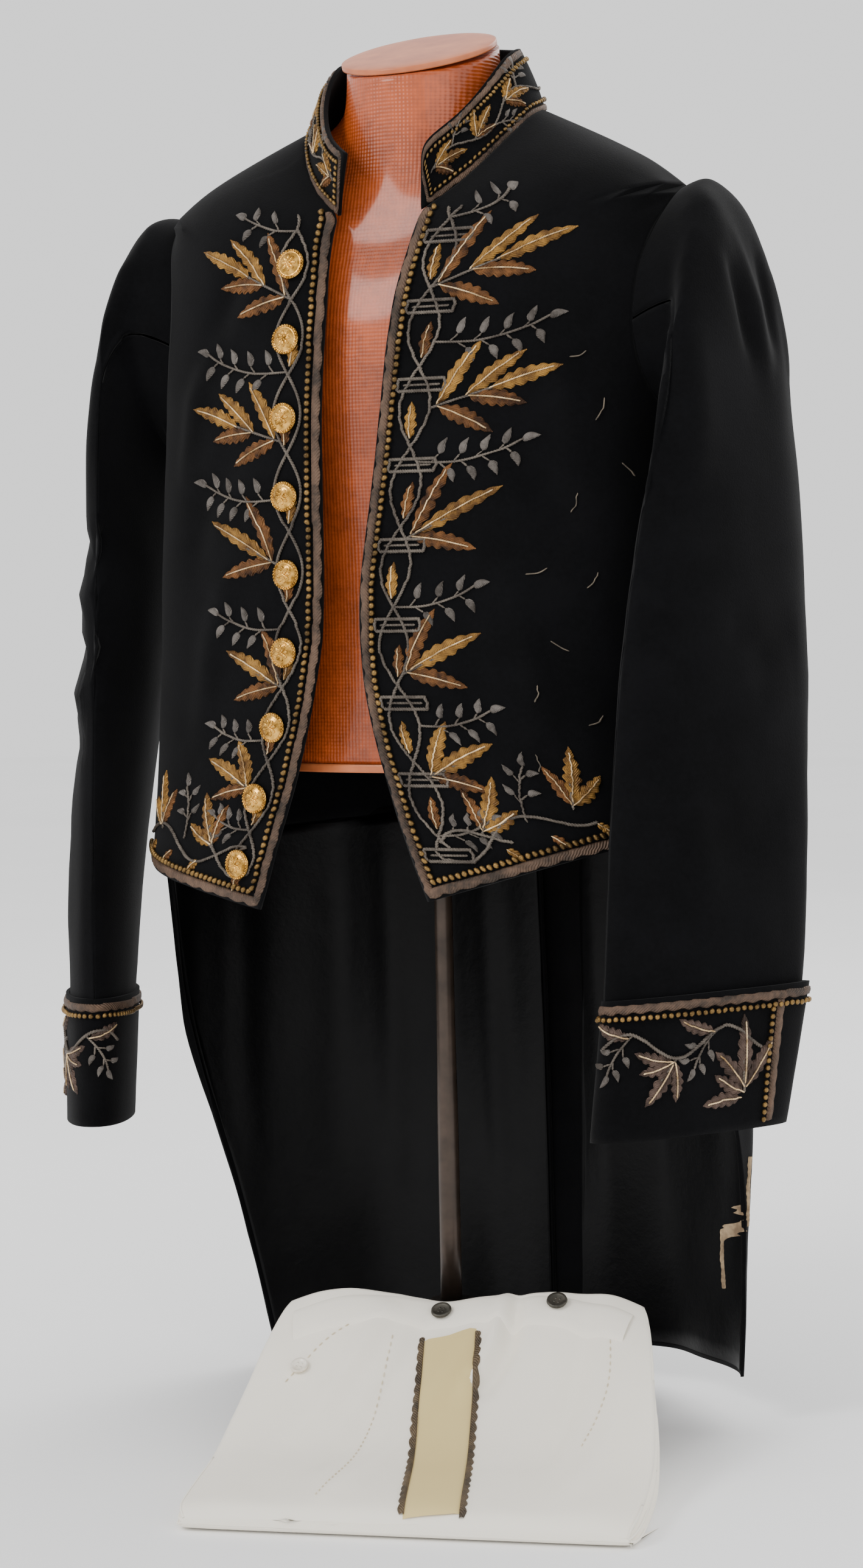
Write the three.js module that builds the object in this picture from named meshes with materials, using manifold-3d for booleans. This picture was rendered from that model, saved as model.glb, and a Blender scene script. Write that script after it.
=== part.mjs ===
// Diplomatic dress coat on a limbless dress form, with folded trousers at its foot.
// Millimetres, +Z up. The pole stands on the origin, the coat's front faces -Y, +X is the wearer's left.
import * as THREE from "three";
import Module from "manifold-3d";

const wasm = await Module();
wasm.setup();

// ---------------------------------------------------------------- driving dimensions
const CLOTH_WALL = 2.0;
const COLLAR_WALL = 2.4;
const LINING_WALL = 1.0;
const SEAM_GAP = 0.4;
const TRIM_LIFT = 0.65; // clear height under everything sewn on a panel
const EMBROIDERY_HEIGHT = 2.0;
const BRAID_HEIGHT = 1.6;
const BEADING_HEIGHT = 2.6;
const SCALLOP_PITCH = 15.5;
const SCALLOP_DEPTH = 3.2;
const BRAID_WIDTH = 7.0;
const CORD_WIDTH = 2.2;
const BUTTON_DIAMETER = 21;
const BUTTON_HEIGHT = 6.5;
const BUTTON_INSET = 28;
const BUTTONHOLE_LENGTH = 32;
const BUTTONHOLE_HEIGHT = 8.5;
const CUFF_TOP_ROW = 10.95;
const CUFF_LIFT = 1.0;
const CUFF_WALL = 2.2;
const TAIL_HEM_Z = 22;
const POLE_RADIUS_LOW = 7.9;
const POLE_RADIUS_HIGH = 6.4;
const FORM_BOTTOM_Z = 473;
const TROUSER_TURN = 13.1; // degrees, the packet against the form

const DEG = Math.PI / 180;
const named = (columns, rows) =>
  rows.map((row) => Object.fromEntries(columns.map((name, i) => [name, row[i]])));

// Coat body, one row per level from the hem to the neck: heights at front, side and back, half width, depths.
const BODY = named(
  ["row", "zFront", "zSide", "zBack", "half", "front", "back", "square", "dip"],
  [
    [0, 369.5, 420, 432, 217, 128, 140, 2.6, 1.5],
    [1, 455, 492, 500, 210, 124, 128, 2.6, 1.5],
    [2, 548, 572, 576, 206, 122, 121, 2.6, 1.7],
    [3, 635, 648, 650, 203, 120, 118, 2.6, 2],
    [4, 700, 705, 707, 199, 118, 117, 2.6, 2],
    [5, 744, 752, 758, 196, 114, 116, 2.6, 2],
    [6, 783, 806, 816, 194, 108, 110, 2.5, 2],
    [7, 808, 860, 866, 189, 101, 97, 2.4, 2],
    [8, 823, 892, 902, 140, 96, 80, 2.2, 1.9],
    [9, 838, 918, 932, 86, 90, 60, 2.0, 1.7],
  ],
);
const NECK_ROW = 9;
const SHOULDER_ROW = 7;

// Drape of the body, one row per soft fold: bearing from the front, rows it spans,
// half width in degrees, swell, side.
const BODY_FOLDS = named(
  ["bearing", "from", "to", "spread", "swell", "side"],
  [
    [60, -1, 5.2, 8, -2.4, 1],
    [73, -1, 4.6, 7, 2.2, 1],
    [58, -1, 4.4, 8, 2.2, -1],
    [70, -1, 5.4, 7, -2.6, -1],
    [52, 2.0, 6.0, 8, -2.0, -1],
    [118, -1, 4.8, 8, -3.4, 1],
    [133, -1, 5.6, 8, 3.2, 1],
    [121, -1, 4.4, 7, 3.2, -1],
    [140, -1, 5.2, 9, -3.0, -1],
    [160, -1, 3.0, 7, 2.6, 0],
  ],
);

// Armhole, one row per level: body row and the bearings of its front and back edge.
const ARMHOLE = named(
  ["row", "front", "back"],
  [
    [3.75, 90, 90],
    [3.8, 85, 95],
    [3.9, 80, 100],
    [4.3, 74, 107],
    [5, 70.5, 111],
    [5.8, 71, 110],
    [6.4, 75.5, 105],
    [6.8, 82, 98],
    [7, 90, 90],
  ],
);
const SIDE_FRONT_SEAM = 80;
const SIDE_BACK_SEAM = 100;
const UNDERARM_ROW = 3.9;

// Front edges, one row per height: how far each edge stands from the middle.
const FRONT_EDGE = named(
  ["z", "left", "right"],
  [
    [360, 84, 66],
    [386, 75, 58],
    [438, 53, 40],
    [492, 32, 20],
    [547, 18, 9.5],
    [582, 14.5, 10.5],
    [640, 19.5, 18],
    [711, 20.7, 25],
    [783, 22, 29],
    [847, 32.5, 32],
    [900, 36, 32],
  ],
);

// Stand collar: bearing of its front edge and the ring of its upper edge.
const COLLAR_FRONT = { left: 20.5, right: 20.5, leftTop: 21.5, rightTop: 13 };
const COLLAR_TOP = {
  zFront: 883,
  zSide: 962,
  zBack: 973,
  half: 67,
  front: 97,
  back: 54,
  square: 2,
  dip: 1.7,
};

// Sleeve, one row per ring down the arm: outer and inner points across, middle depth,
// half lengths, turn of the flat.
const SLEEVE = named(
  ["row", "outX", "outZ", "inX", "inZ", "y", "front", "back", "yaw"],
  [
    [0, 189, 860, 198, 694, 0, 66, 64, 0],
    [1, 206, 866, 202, 690, -1, 68, 62, 0],
    [2, 221, 855, 207, 684, -4, 76, 62, 2],
    [3, 235, 824, 210, 674, -8, 84, 62, 5],
    [4, 245, 780, 212, 660, -10, 86, 63, 8],
    [5, 252, 730, 213, 640, -12, 88, 66, 11],
    [6, 258, 675, 214, 610, -16, 88, 70, 14],
    [7, 264, 610, 216, 570, -24, 86, 76, 18],
    [8, 270, 540, 220, 520, -34, 83, 79, 22],
    [9, 274, 460, 225, 450, -45, 80, 77, 27],
    [10, 276, 380, 228, 375, -54, 77, 74, 31],
    [11, 276, 311, 229, 308, -61, 75, 72, 34],
    [12, 268, 224, 224, 222, -75, 70, 67, 35],
  ],
);
const SLEEVE_END_ROW = 11.94;

// Sleeve folds, one row each: bearing round the sleeve, ring rows it spans, spread, swell, side (0 both).
const SLEEVE_FOLDS = named(
  ["bearing", "from", "to", "spread", "swell", "side"],
  [
    [65.8, 0.9, 5.2, 13, 3.4, 1],
    [90, 0.8, 5.8, 11, -3.2, 1],
    [114.2, 1.0, 6.5, 12, 3.0, 1],
    [49.9, 0.9, 6.0, 12, -3.0, -1],
    [90, 0.9, 10.9, 13, 4.0, -1],
    [122, 1.4, 10.9, 14, -3.6, -1],
    [65.8, 6.5, 10.9, 18, 2.4, 1],
    [114.2, 7.0, 10.9, 16, -2.6, 1],
    [244.6, 4.0, 10.9, 18, -2.2, 0],
    [295.4, 5.0, 10.9, 18, 1.8, 0],
  ],
);

// Tails, one row per level from the waist down: share of the length, half width, depth behind, forward edge.
const TAIL = named(
  ["level", "half", "back", "forward"],
  [
    [0, 217, 140, 81],
    [0.2, 222, 143, 86],
    [0.42, 228, 146, 94],
    [0.64, 225, 148, 102],
    [0.82, 220, 149, 106],
    [1, 214, 150, 109.5],
  ],
);
const TAIL_FOLDS = named(
  ["bearing", "spread", "swell", "side"],
  [
    [112, 7, 3.0, 1],
    [127, 7, -4.5, 1],
    [143, 8, 4.0, 1],
    [158, 6, -3.5, 1],
    [118, 8, -4.0, -1],
    [134, 7, 4.2, -1],
    [150, 7, -3.6, -1],
    [162, 5, 2.6, -1],
  ],
);
const VENT_OVERLAP = 3; // degrees past the middle
const VENT_STEP = 3.0; // the under tail lies this far inside

// Dress form, one row per level from its cut bottom to the neck.
const FORM = named(
  ["row", "zFront", "zSide", "zBack", "half", "front", "back", "square", "dip"],
  [
    [0, 473, 473, 473, 138, 95, 78, 2.2, 2],
    [1, 520, 520, 520, 134, 94, 77, 2.2, 2],
    [2, 590, 590, 590, 131, 93, 77, 2.2, 2],
    [3, 660, 660, 660, 137, 97, 82, 2.2, 2],
    [4, 730, 730, 732, 148, 100, 88, 2.2, 2],
    [5, 780, 795, 800, 157, 95, 91, 2.2, 2],
    [6, 806, 842, 848, 157, 85, 82, 2.2, 2],
    [7, 822.6, 875.1, 881, 141.4, 77, 70, 2.2, 2],
    [8, 835.6, 895, 900.8, 116.4, 73, 61, 2.1, 2],
    [9, 848.8, 907.9, 912.8, 86, 70, 52, 2.0, 2],
    [10, 872, 924, 929, 62, 66, 47, 2.0, 1.6],
    [11, 906, 941, 954, 55, 64, 45, 2.0, 1.2],
    [12, 940, 960, 980, 54, 64, 44, 2.0, 1],
  ],
);

// Sprays that grow from each front's vine: foot height, leaves of an oak spray or 0 for laurel,
// reach, and rise of the stem in radians.
const LEFT_SPRAYS = named(
  ["z", "leaves", "reach", "rise"],
  [
    [791, 5, 54, 0.42],
    [755, 0, 44, 0.24],
    [711, 5, 50, 0.4],
    [676, 0, 44, 0.16],
    [625, 3, 48, 0.42],
    [580, 0, 40, 0.3],
    [535, 3, 44, 0.5],
    [501, 0, 32, 0.42],
    [466, 3, 38, 0.7],
    [424, 0, 26, 0.75],
  ],
);
const RIGHT_SPRAYS = named(
  ["z", "leaves", "reach", "rise"],
  [
    [785, 5, 46, 0.12],
    [734, 0, 44, 0.3],
    [695, 5, 48, 0.4],
    [656, 0, 42, 0.1],
    [614, 3, 44, 0.5],
    [572, 0, 36, 0.42],
    [526, 3, 38, 0.7],
    [488, 0, 30, 0.5],
    [460, 3, 32, 0.9],
    [430, 0, 22, 0.9],
  ],
);
const BUTTON_CLEARANCE = 15.5;

// Base, one row per edge of the turned profile.
const BASE_PROFILE = named(
  ["r", "z"],
  [
    [132, 0],
    [132, 13],
    [124, 23],
    [104, 41],
    [84, 56],
    [64, 67],
    [40, 75],
    [18, 78],
    [16, 84],
  ],
);

// Trousers packet, one row per step from the front fold to the waist: underside, top, half width.
const PACKET = named(
  ["v", "under", "top", "half"],
  [
    [0, 4, 10, 144],
    [4, 0.6, 16, 147],
    [12, 0, 20, 149],
    [40, 0, 23, 150],
    [85, 0, 27, 149],
    [115, 6, 39, 147],
    [150, 23, 60, 142],
    [180, 38, 84, 136],
    [203, 48, 101, 130],
    [216, 54, 107, 125],
    [222, 62, 102, 121],
  ],
);
const PACKET_FOLDS = named(
  ["u", "slope", "spread", "swell"],
  [
    [-88, -0.12, 16, -3.0],
    [-52, 0.1, 12, 3.4],
    [58, 0.12, 13, -2.6],
    [92, 0.05, 12, 3.2],
    [124, 0.04, 9, -2.4],
  ],
);
const PACKET_ORIGIN = { x: 96, y: -289.1 };
const STRIPE_WIDTH = 41;
const WAISTBAND_DEPTH = 24;

// Heights of the nine buttons on the right front and of the nine cord buttonholes on the left.
const BUTTON_Z = [813, 762, 709, 656, 603, 550, 499, 450, 404];
const BUTTONHOLE_Z = [826, 779, 727, 674, 621, 568, 516, 465, 415];

// ---------------------------------------------------------------- small tools
function curve(rows, xKey, yKey, x) {
  const last = rows.length - 1;
  if (x <= rows[0][xKey]) return rows[0][yKey];
  if (x >= rows[last][xKey]) return rows[last][yKey];
  let i = 0;
  while (x > rows[i + 1][xKey]) i += 1;
  const slope = (k) => {
    const a = Math.max(0, k - 1);
    const b = Math.min(last, k + 1);
    return (rows[b][yKey] - rows[a][yKey]) / (rows[b][xKey] - rows[a][xKey]);
  };
  const h = rows[i + 1][xKey] - rows[i][xKey];
  const s = (x - rows[i][xKey]) / h;
  const s2 = s * s;
  const s3 = s2 * s;
  return (
    (2 * s3 - 3 * s2 + 1) * rows[i][yKey] +
    (s3 - 2 * s2 + s) * h * slope(i) +
    (3 * s2 - 2 * s3) * rows[i + 1][yKey] +
    (s3 - s2) * h * slope(i + 1)
  );
}

const lerp = (a, b, s) => a + (b - a) * s;
const clamp01 = (s) => Math.min(1, Math.max(0, s));
const smooth = (s) => clamp01(s) ** 2 * (3 - 2 * clamp01(s));
const bell = (x) => Math.exp(-x * x);
const steps = (n, from = 0, to = 1) => Array.from({ length: n + 1 }, (_, i) => lerp(from, to, i / n));
const add3 = (p, n, s) => [p[0] + n[0] * s, p[1] + n[1] * s, p[2] + n[2] * s];
const mirror = (p, side) => [p[0] * side, p[1], p[2]];

function unit(v) {
  const l = Math.hypot(...v) || 1;
  return v.map((c) => c / l);
}

function cross(a, b) {
  return [a[1] * b[2] - a[2] * b[1], a[2] * b[0] - a[0] * b[2], a[0] * b[1] - a[1] * b[0]];
}

// The coat hangs turned on its form: it twists toward the hem, shifts and leans a little.
function bend([x, y, z]) {
  const k = smooth((850 - z) / 400);
  const turn = -8 * k * DEG;
  const low = smooth((800 - z) / 350);
  return [
    x * Math.cos(turn) - y * Math.sin(turn) + lerp(2, -8, k),
    x * Math.sin(turn) + y * Math.cos(turn),
    z + 0.05 * x * low,
  ];
}

// A bearing of 0 is the front middle, 90 the wearer's left, 180 the back middle.
function ringRadius(bearing, half, front, back, square) {
  const s = Math.abs(Math.sin(bearing * DEG));
  const c = Math.cos(bearing * DEG);
  const depth = c > 0 ? front : back;
  return ((s / half) ** square + (Math.abs(c) / depth) ** square) ** (-1 / square);
}

function ringPoint(bearing, ring, swell = 0) {
  const r = ringRadius(bearing, ring.half, ring.front, ring.back, ring.square) + swell;
  const c = Math.cos(bearing * DEG);
  const end = c > 0 ? ring.zFront : ring.zBack;
  const z = ring.zSide + (end - ring.zSide) * Math.abs(c) ** ring.dip;
  return [r * Math.sin(bearing * DEG), -r * c, z];
}

function ringAt(rows, row) {
  const ring = {};
  for (const key of Object.keys(rows[0])) ring[key] = curve(rows, "row", key, row);
  return ring;
}

function swellAt(folds, bearing, row, side) {
  let sum = 0;
  for (const fold of folds) {
    if (fold.side !== 0 && fold.side !== side) continue;
    const lasts = fold.from !== undefined;
    const fade = lasts ? smooth((row - fold.from) / 0.8) * smooth((fold.to - row) / 1.4) : 1;
    sum += fold.swell * fade * bell((bearing - fold.bearing) / fold.spread);
  }
  return sum;
}

// ---------------------------------------------------------------- surfaces in the coat's own frame
const bodyPoint = (side) => (bearing, row) =>
  ringPoint(bearing, ringAt(BODY, row), swellAt(BODY_FOLDS, bearing, row, side));

function rowAt(bearing, z, side) {
  const point = bodyPoint(side);
  let low = 0;
  let high = NECK_ROW;
  for (let i = 0; i < 34; i += 1) {
    const middle = (low + high) / 2;
    if (point(bearing, middle)[2] < z) low = middle;
    else high = middle;
  }
  return (low + high) / 2;
}

function edgeBearing(side, z) {
  const wanted = curve(FRONT_EDGE, "z", side > 0 ? "left" : "right", z);
  let low = 0;
  let high = 60;
  for (let i = 0; i < 30; i += 1) {
    const middle = (low + high) / 2;
    if (bodyPoint(side)(middle, rowAt(middle, z, side))[0] < wanted) low = middle;
    else high = middle;
  }
  return (low + high) / 2;
}

const edgeCache = new Map();
function edgeAtRow(side, row) {
  const key = `${side}:${row.toFixed(4)}`;
  if (!edgeCache.has(key)) {
    let bearing = 18;
    for (let i = 0; i < 12; i += 1) {
      const z = bodyPoint(side)(bearing, row)[2];
      bearing = lerp(bearing, edgeBearing(side, z), 0.7);
    }
    edgeCache.set(key, bearing);
  }
  return edgeCache.get(key);
}

const gapBearing = (row, share = 0.5) => ((SEAM_GAP * share) / ringAt(BODY, row).half / DEG) * 1.1;

function sleevePoint(bearing, row, side) {
  const at = (key) => curve(SLEEVE, "row", key, row);
  const c = Math.cos(bearing * DEG);
  const s = Math.sin(bearing * DEG);
  const yaw = at("yaw") * DEG;
  const reach = (c > 0 ? at("front") : at("back")) * c;
  const middle = [(at("outX") + at("inX")) / 2, at("y"), (at("outZ") + at("inZ")) / 2];
  const halfX = (at("outX") - at("inX")) / 2;
  const halfZ = (at("outZ") - at("inZ")) / 2;
  const across = [Math.cos(yaw) * halfX, -Math.sin(yaw) * halfX, halfZ];
  const swell = swellAt(SLEEVE_FOLDS, bearing, row, side) * Math.sign(s || 1);
  const out = unit([Math.cos(yaw), -Math.sin(yaw), 0]);
  const tube = [
    middle[0] - Math.sin(yaw) * reach + across[0] * s + out[0] * swell,
    middle[1] - Math.cos(yaw) * reach + across[1] * s + out[1] * swell,
    middle[2] + across[2] * s,
  ];
  if (row >= 1) return tube;
  const loop = armholePoint(bearing, side);
  const k = smooth(row);
  return tube.map((value, i) => lerp(loop[i], value, k));
}

// The sleeve starts just inside the armhole's edge.
function armholePoint(bearing, side) {
  const s = Math.sin(bearing * DEG);
  const row = s > 0 ? 5.3 + (SHOULDER_ROW - 5.3) * s : 5.3 + (5.3 - 3.75) * s;
  const edge = Math.cos(bearing * DEG) > 0 ? "front" : "back";
  const p = bodyPoint(side)(curve(ARMHOLE, "row", edge, row), row);
  const inward = unit([0, -p[1], 777 - p[2]]);
  return add3(add3(p, inward, 0.6), [1, 0, 0], -0.6);
}

function tailPoint(bearing, level, side) {
  const ring = {
    half: curve(TAIL, "level", "half", level),
    front: 100,
    back: curve(TAIL, "level", "back", level),
    square: 2.6,
  };
  const waist = bodyPoint(side)(bearing, 0);
  const waistRadius = Math.hypot(waist[0], waist[1]);
  const share = smooth(level * 3);
  const folds = swellAt(TAIL_FOLDS, bearing, 0, side) * smooth(level * 1.6) * (0.8 + 0.4 * level);
  const free = ringRadius(bearing, ring.half, ring.front, ring.back, ring.square) + folds;
  const r = lerp(waistRadius, free, share);
  const step = side < 0 ? -VENT_STEP * smooth((bearing - 171) / 5) : 0;
  return [
    (r + step) * Math.sin(bearing * DEG),
    -(r + step) * Math.cos(bearing * DEG),
    lerp(waist[2] - 0.7, TAIL_HEM_Z, level),
  ];
}

function collarPoint(bearing, level) {
  const base = ringPoint(bearing, ringAt(BODY, NECK_ROW));
  const top = ringPoint(bearing, COLLAR_TOP);
  const p = base.map((value, i) => lerp(value, top[i], level));
  const flare = 1.6 * Math.sin(Math.PI * level);
  return [p[0] + flare * Math.sin(bearing * DEG), p[1] - flare * Math.cos(bearing * DEG), p[2] + 0.9];
}

// ---------------------------------------------------------------- solids from grids
function solidFrom(points, triangles) {
  let volume = 0;
  for (const [a, b, c] of triangles) {
    const [p, q, r] = [points[a], points[b], points[c]];
    const n = cross(q, r);
    volume += p[0] * n[0] + p[1] * n[1] + p[2] * n[2];
  }
  const faces = volume < 0 ? triangles.map(([a, b, c]) => [a, c, b]) : triangles;
  const geometry = new THREE.BufferGeometry();
  geometry.setAttribute("position", new THREE.Float32BufferAttribute(points.flat(), 3));
  geometry.setIndex(faces.flat());
  geometry.computeVertexNormals();
  return geometry;
}

// Two grids of the same size, an upper and a lower skin, closed all round their edge.
function closeGrids(upper, lower, wrap = false) {
  const rows = upper.length;
  const columns = upper[0].length;
  const points = [...upper.flat(), ...lower.flat()];
  const under = rows * columns;
  const at = (j, i) => j * columns + (i % columns);
  const triangles = [];
  const quad = (a, b, c, d) => triangles.push([a, b, c], [a, c, d]);
  const spans = wrap ? columns : columns - 1;
  for (let j = 0; j < rows - 1; j += 1) {
    for (let i = 0; i < spans; i += 1) {
      const [a, b, c, d] = [at(j, i), at(j, i + 1), at(j + 1, i + 1), at(j + 1, i)];
      quad(a, b, c, d);
      quad(under + a, under + d, under + c, under + b);
    }
  }
  for (let i = 0; i < spans; i += 1) {
    quad(at(0, i + 1), at(0, i), under + at(0, i), under + at(0, i + 1));
    quad(at(rows - 1, i), at(rows - 1, i + 1), under + at(rows - 1, i + 1), under + at(rows - 1, i));
  }
  if (!wrap) {
    for (let j = 0; j < rows - 1; j += 1) {
      const e = columns - 1;
      quad(at(j, 0), at(j + 1, 0), under + at(j + 1, 0), under + at(j, 0));
      quad(at(j + 1, e), at(j, e), under + at(j, e), under + at(j + 1, e));
    }
  }
  return solidFrom(points, triangles);
}

// A sheet on a surface: pointAt(u, v), from low to high along its normal.
function sheet({ pointAt, us, vs, low, high, facing = 1, side = 1, wrap = false, place = bend }) {
  const lift = (u, v, h) => {
    const e = 0.02;
    const du = pointAt(u + e, v).map((value, i) => value - pointAt(u - e, v)[i]);
    const dv = pointAt(u, v + e).map((value, i) => value - pointAt(u, v - e)[i]);
    const n = unit(cross(du, dv));
    return place(mirror(add3(pointAt(u, v), n, h * facing), side));
  };
  const skin = (h) => vs.map((v) => us.map((u) => lift(u, v, h)));
  return closeGrids(skin(high), skin(low), wrap);
}

const group = new THREE.Group();
group.name = "diplomatic_dress_uniform";

const FINISH = {
  wool: { color: 0x0b0c10, roughness: 0.85, metalness: 0 },
  satin: { color: 0x0a0a0c, roughness: 0.4, metalness: 0 },
  oakGold: { color: 0x8b5e34, roughness: 0.5, metalness: 0.3 },
  braidGold: { color: 0x6f5442, roughness: 0.6, metalness: 0.2 },
  beadGold: { color: 0x8f7340, roughness: 0.4, metalness: 0.5 },
  gilt: { color: 0xe3b567, roughness: 0.25, metalness: 1 },
  form: { color: 0xb5541f, roughness: 0.3, metalness: 0 },
  cap: { color: 0xd88c5f, roughness: 0.35, metalness: 0 },
  pole: { color: 0x3b3029, roughness: 0.35, metalness: 0.7 },
  base: { color: 0x2a2522, roughness: 0.5, metalness: 0.4 },
  cream: { color: 0xefe2c6, roughness: 0.9, metalness: 0 },
  lace: { color: 0xb08a3e, roughness: 0.5, metalness: 0.4 },
  pewter: { color: 0x4a4843, roughness: 0.5, metalness: 0.4 },
  pearl: { color: 0xf2ecdd, roughness: 0.3, metalness: 0 },
};

function put(name, geometry, finish) {
  const mesh = new THREE.Mesh(geometry, new THREE.MeshStandardMaterial(FINISH[finish]));
  mesh.name = name;
  group.add(mesh);
}

const SIDES = [
  ["left", 1],
  ["right", -1],
];

// ---------------------------------------------------------------- coat body
const FRONT_ROWS = [0, 0.8, 1.6, 2.4, 3.2, 3.9, 4.3, 4.8, 5.3, 5.9, 6.3, 6.6, 6.85, 7, 7.5, 8, 8.5, 9];
const BACK_ROWS = [0, 0.8, 1.6, 2.4, 3.2, 3.9, 4.3, 4.8, 5.3, 5.9, 6.3, 6.6, 6.85, 7, 7.5, 8, 8.5, 9];

function frontSeam(row) {
  if (row <= UNDERARM_ROW) return SIDE_FRONT_SEAM;
  return row >= SHOULDER_ROW ? 90 : Math.min(90, curve(ARMHOLE, "row", "front", row));
}

function backSeam(row) {
  if (row <= UNDERARM_ROW) return SIDE_BACK_SEAM;
  return row >= SHOULDER_ROW ? 90 : Math.max(90, curve(ARMHOLE, "row", "back", row));
}

function addBody(label, side) {
  const surface = bodyPoint(side);
  const wall = { low: -CLOTH_WALL, high: 0, side };
  put(
    `coat_front_${label}`,
    sheet({
      ...wall,
      pointAt: (u, row) => surface(lerp(edgeAtRow(side, row), frontSeam(row) - gapBearing(row), u), row),
      us: steps(9),
      vs: FRONT_ROWS,
    }),
    "wool",
  );
  put(
    `coat_back_${label}`,
    sheet({
      ...wall,
      pointAt: (u, row) => surface(lerp(backSeam(row) + gapBearing(row), 180 - gapBearing(row, 0.8), u), row),
      us: steps(7),
      vs: BACK_ROWS,
    }),
    "wool",
  );
  const underarm = (bearing) => {
    const rows = ARMHOLE.slice(0, 3).map(({ row, front }) => ({ front: 90 - front, row }));
    return curve(rows, "front", "row", Math.abs(90 - bearing));
  };
  put(
    `coat_side_${label}`,
    sheet({
      ...wall,
      pointAt: (u, v) => {
        const gap = gapBearing(1);
        const bearing = lerp(SIDE_FRONT_SEAM + gap, SIDE_BACK_SEAM - gap, u);
        return surface(bearing, v * underarm(bearing));
      },
      us: steps(4),
      vs: [0, 0.8, 1.6, 2.4, 3.2, UNDERARM_ROW - 0.02].map((row) => row / UNDERARM_ROW),
    }),
    "wool",
  );
}

// ---------------------------------------------------------------- sleeves and cuffs
// The sleeve's corners meet those of the armhole, which stand on the body's rows.
const aboveMiddle = [5.9, 6.3, 6.6, 6.85].map((row) => Math.asin((row - 5.3) / (SHOULDER_ROW - 5.3)) / DEG);
const belowMiddle = [4.8, 4.3, 3.9].map((row) => Math.asin((5.3 - row) / (5.3 - 3.75)) / DEG);
const TOP_BEARINGS = [0, ...aboveMiddle, 90, ...aboveMiddle.map((b) => 180 - b).reverse(), 180];
const UNDER_BEARINGS = [
  180,
  ...belowMiddle.map((b) => 180 + b),
  270,
  ...belowMiddle.map((b) => 360 - b).reverse(),
  360,
];
const SLEEVE_ROWS = [0, 0.5, 1, 1.6, 2.3, 3, 4, 5, 6, 7.6, 9.3, CUFF_TOP_ROW, SLEEVE_END_ROW];
const CUFF_ROWS = [CUFF_TOP_ROW, 12];

function addSleeve(label, side) {
  const seam = 0.9;
  const trimEnds = (list) => list.map((b, i) => b + (i === 0 ? seam : i === list.length - 1 ? -seam : 0));
  const shared = {
    pointAt: (u, v) => sleevePoint(u, v, side),
    vs: SLEEVE_ROWS,
    low: -CLOTH_WALL,
    high: 0,
    facing: -1,
    side,
  };
  put(`sleeve_top_${label}`, sheet({ ...shared, us: trimEnds(TOP_BEARINGS) }), "wool");
  put(`sleeve_under_${label}`, sheet({ ...shared, us: trimEnds(UNDER_BEARINGS) }), "wool");
  put(
    `cuff_${label}`,
    sheet({
      ...shared,
      us: [...TOP_BEARINGS, ...UNDER_BEARINGS.slice(1, -1)],
      vs: CUFF_ROWS,
      low: CUFF_LIFT,
      high: CUFF_LIFT + CUFF_WALL,
      wrap: true,
    }),
    "wool",
  );
}

// ---------------------------------------------------------------- collar and tails
function collarFront(side) {
  if (side > 0) return [COLLAR_FRONT.left, COLLAR_FRONT.leftTop];
  return [COLLAR_FRONT.right, COLLAR_FRONT.rightTop];
}

function addCollar(label, side) {
  const [base, top] = collarFront(side);
  put(
    `collar_${label}`,
    sheet({
      pointAt: (u, level) => collarPoint(lerp(lerp(base, top, level), 179.8, u), level),
      us: steps(11),
      vs: steps(3),
      low: -COLLAR_WALL,
      high: 0,
      side,
    }),
    "wool",
  );
}

const TAIL_COLUMNS = 15;
const TAIL_LEVELS = [0, 0.14, 0.3, 0.5, 0.75, 1];

function addTail(label, side) {
  const last = 180 + VENT_OVERLAP;
  const forward = (level) => curve(TAIL, "level", "forward", level);
  const shared = {
    pointAt: (u, level) => tailPoint(lerp(forward(level), last, u), level, side),
    facing: -1,
    side,
  };
  put(
    `tail_${label}`,
    sheet({
      ...shared,
      us: [0, 0.012, ...steps(TAIL_COLUMNS).slice(1, -1), 0.99, 1],
      vs: TAIL_LEVELS,
      low: -CLOTH_WALL,
      high: 0,
    }),
    "wool",
  );
  // the lining stops short of the edges, and on the upper tail short of the overlap
  const columns = steps(TAIL_COLUMNS).slice(1, side > 0 ? -3 : -1);
  put(
    `tail_lining_${label}`,
    sheet({
      ...shared,
      us: side > 0 ? [0.012, ...columns] : [0.012, ...columns, 0.99],
      vs: [0.01, ...TAIL_LEVELS.slice(1, -1), 0.988],
      low: -CLOTH_WALL - SEAM_GAP - LINING_WALL,
      high: -CLOTH_WALL - SEAM_GAP,
    }),
    "satin",
  );
}

// ---------------------------------------------------------------- flat chart of a front
const CHART = (() => {
  const rows = [{ bearing: 0, along: 0 }];
  const point = (bearing) => ringPoint(bearing, ringAt(BODY, 3));
  for (let bearing = 1; bearing <= 110; bearing += 1) {
    const [a, b] = [point(bearing - 1), point(bearing)];
    rows.push({ bearing, along: rows[bearing - 1].along + Math.hypot(a[0] - b[0], a[1] - b[1]) });
  }
  return rows;
})();
const alongOf = (bearing) => curve(CHART, "bearing", "along", bearing);
const bearingOf = (along) => curve(CHART, "along", "bearing", along);

function chartPoint(along, z, lift, side) {
  const surface = bodyPoint(side);
  const bearing = bearingOf(along);
  const row = rowAt(bearing, z, side);
  const e = 0.05;
  const du = surface(bearing + e, row).map((value, i) => value - surface(bearing - e, row)[i]);
  const dv = surface(bearing, row + e).map((value, i) => value - surface(bearing, row - e)[i]);
  const foot = surface(bearing, row);
  const p = bend(mirror(add3(foot, unit(cross(du, dv)), lift), side));
  return [p[0], p[1], p[2] + z - foot[2]]; // carries on straight past the hem and the neck
}

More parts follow.
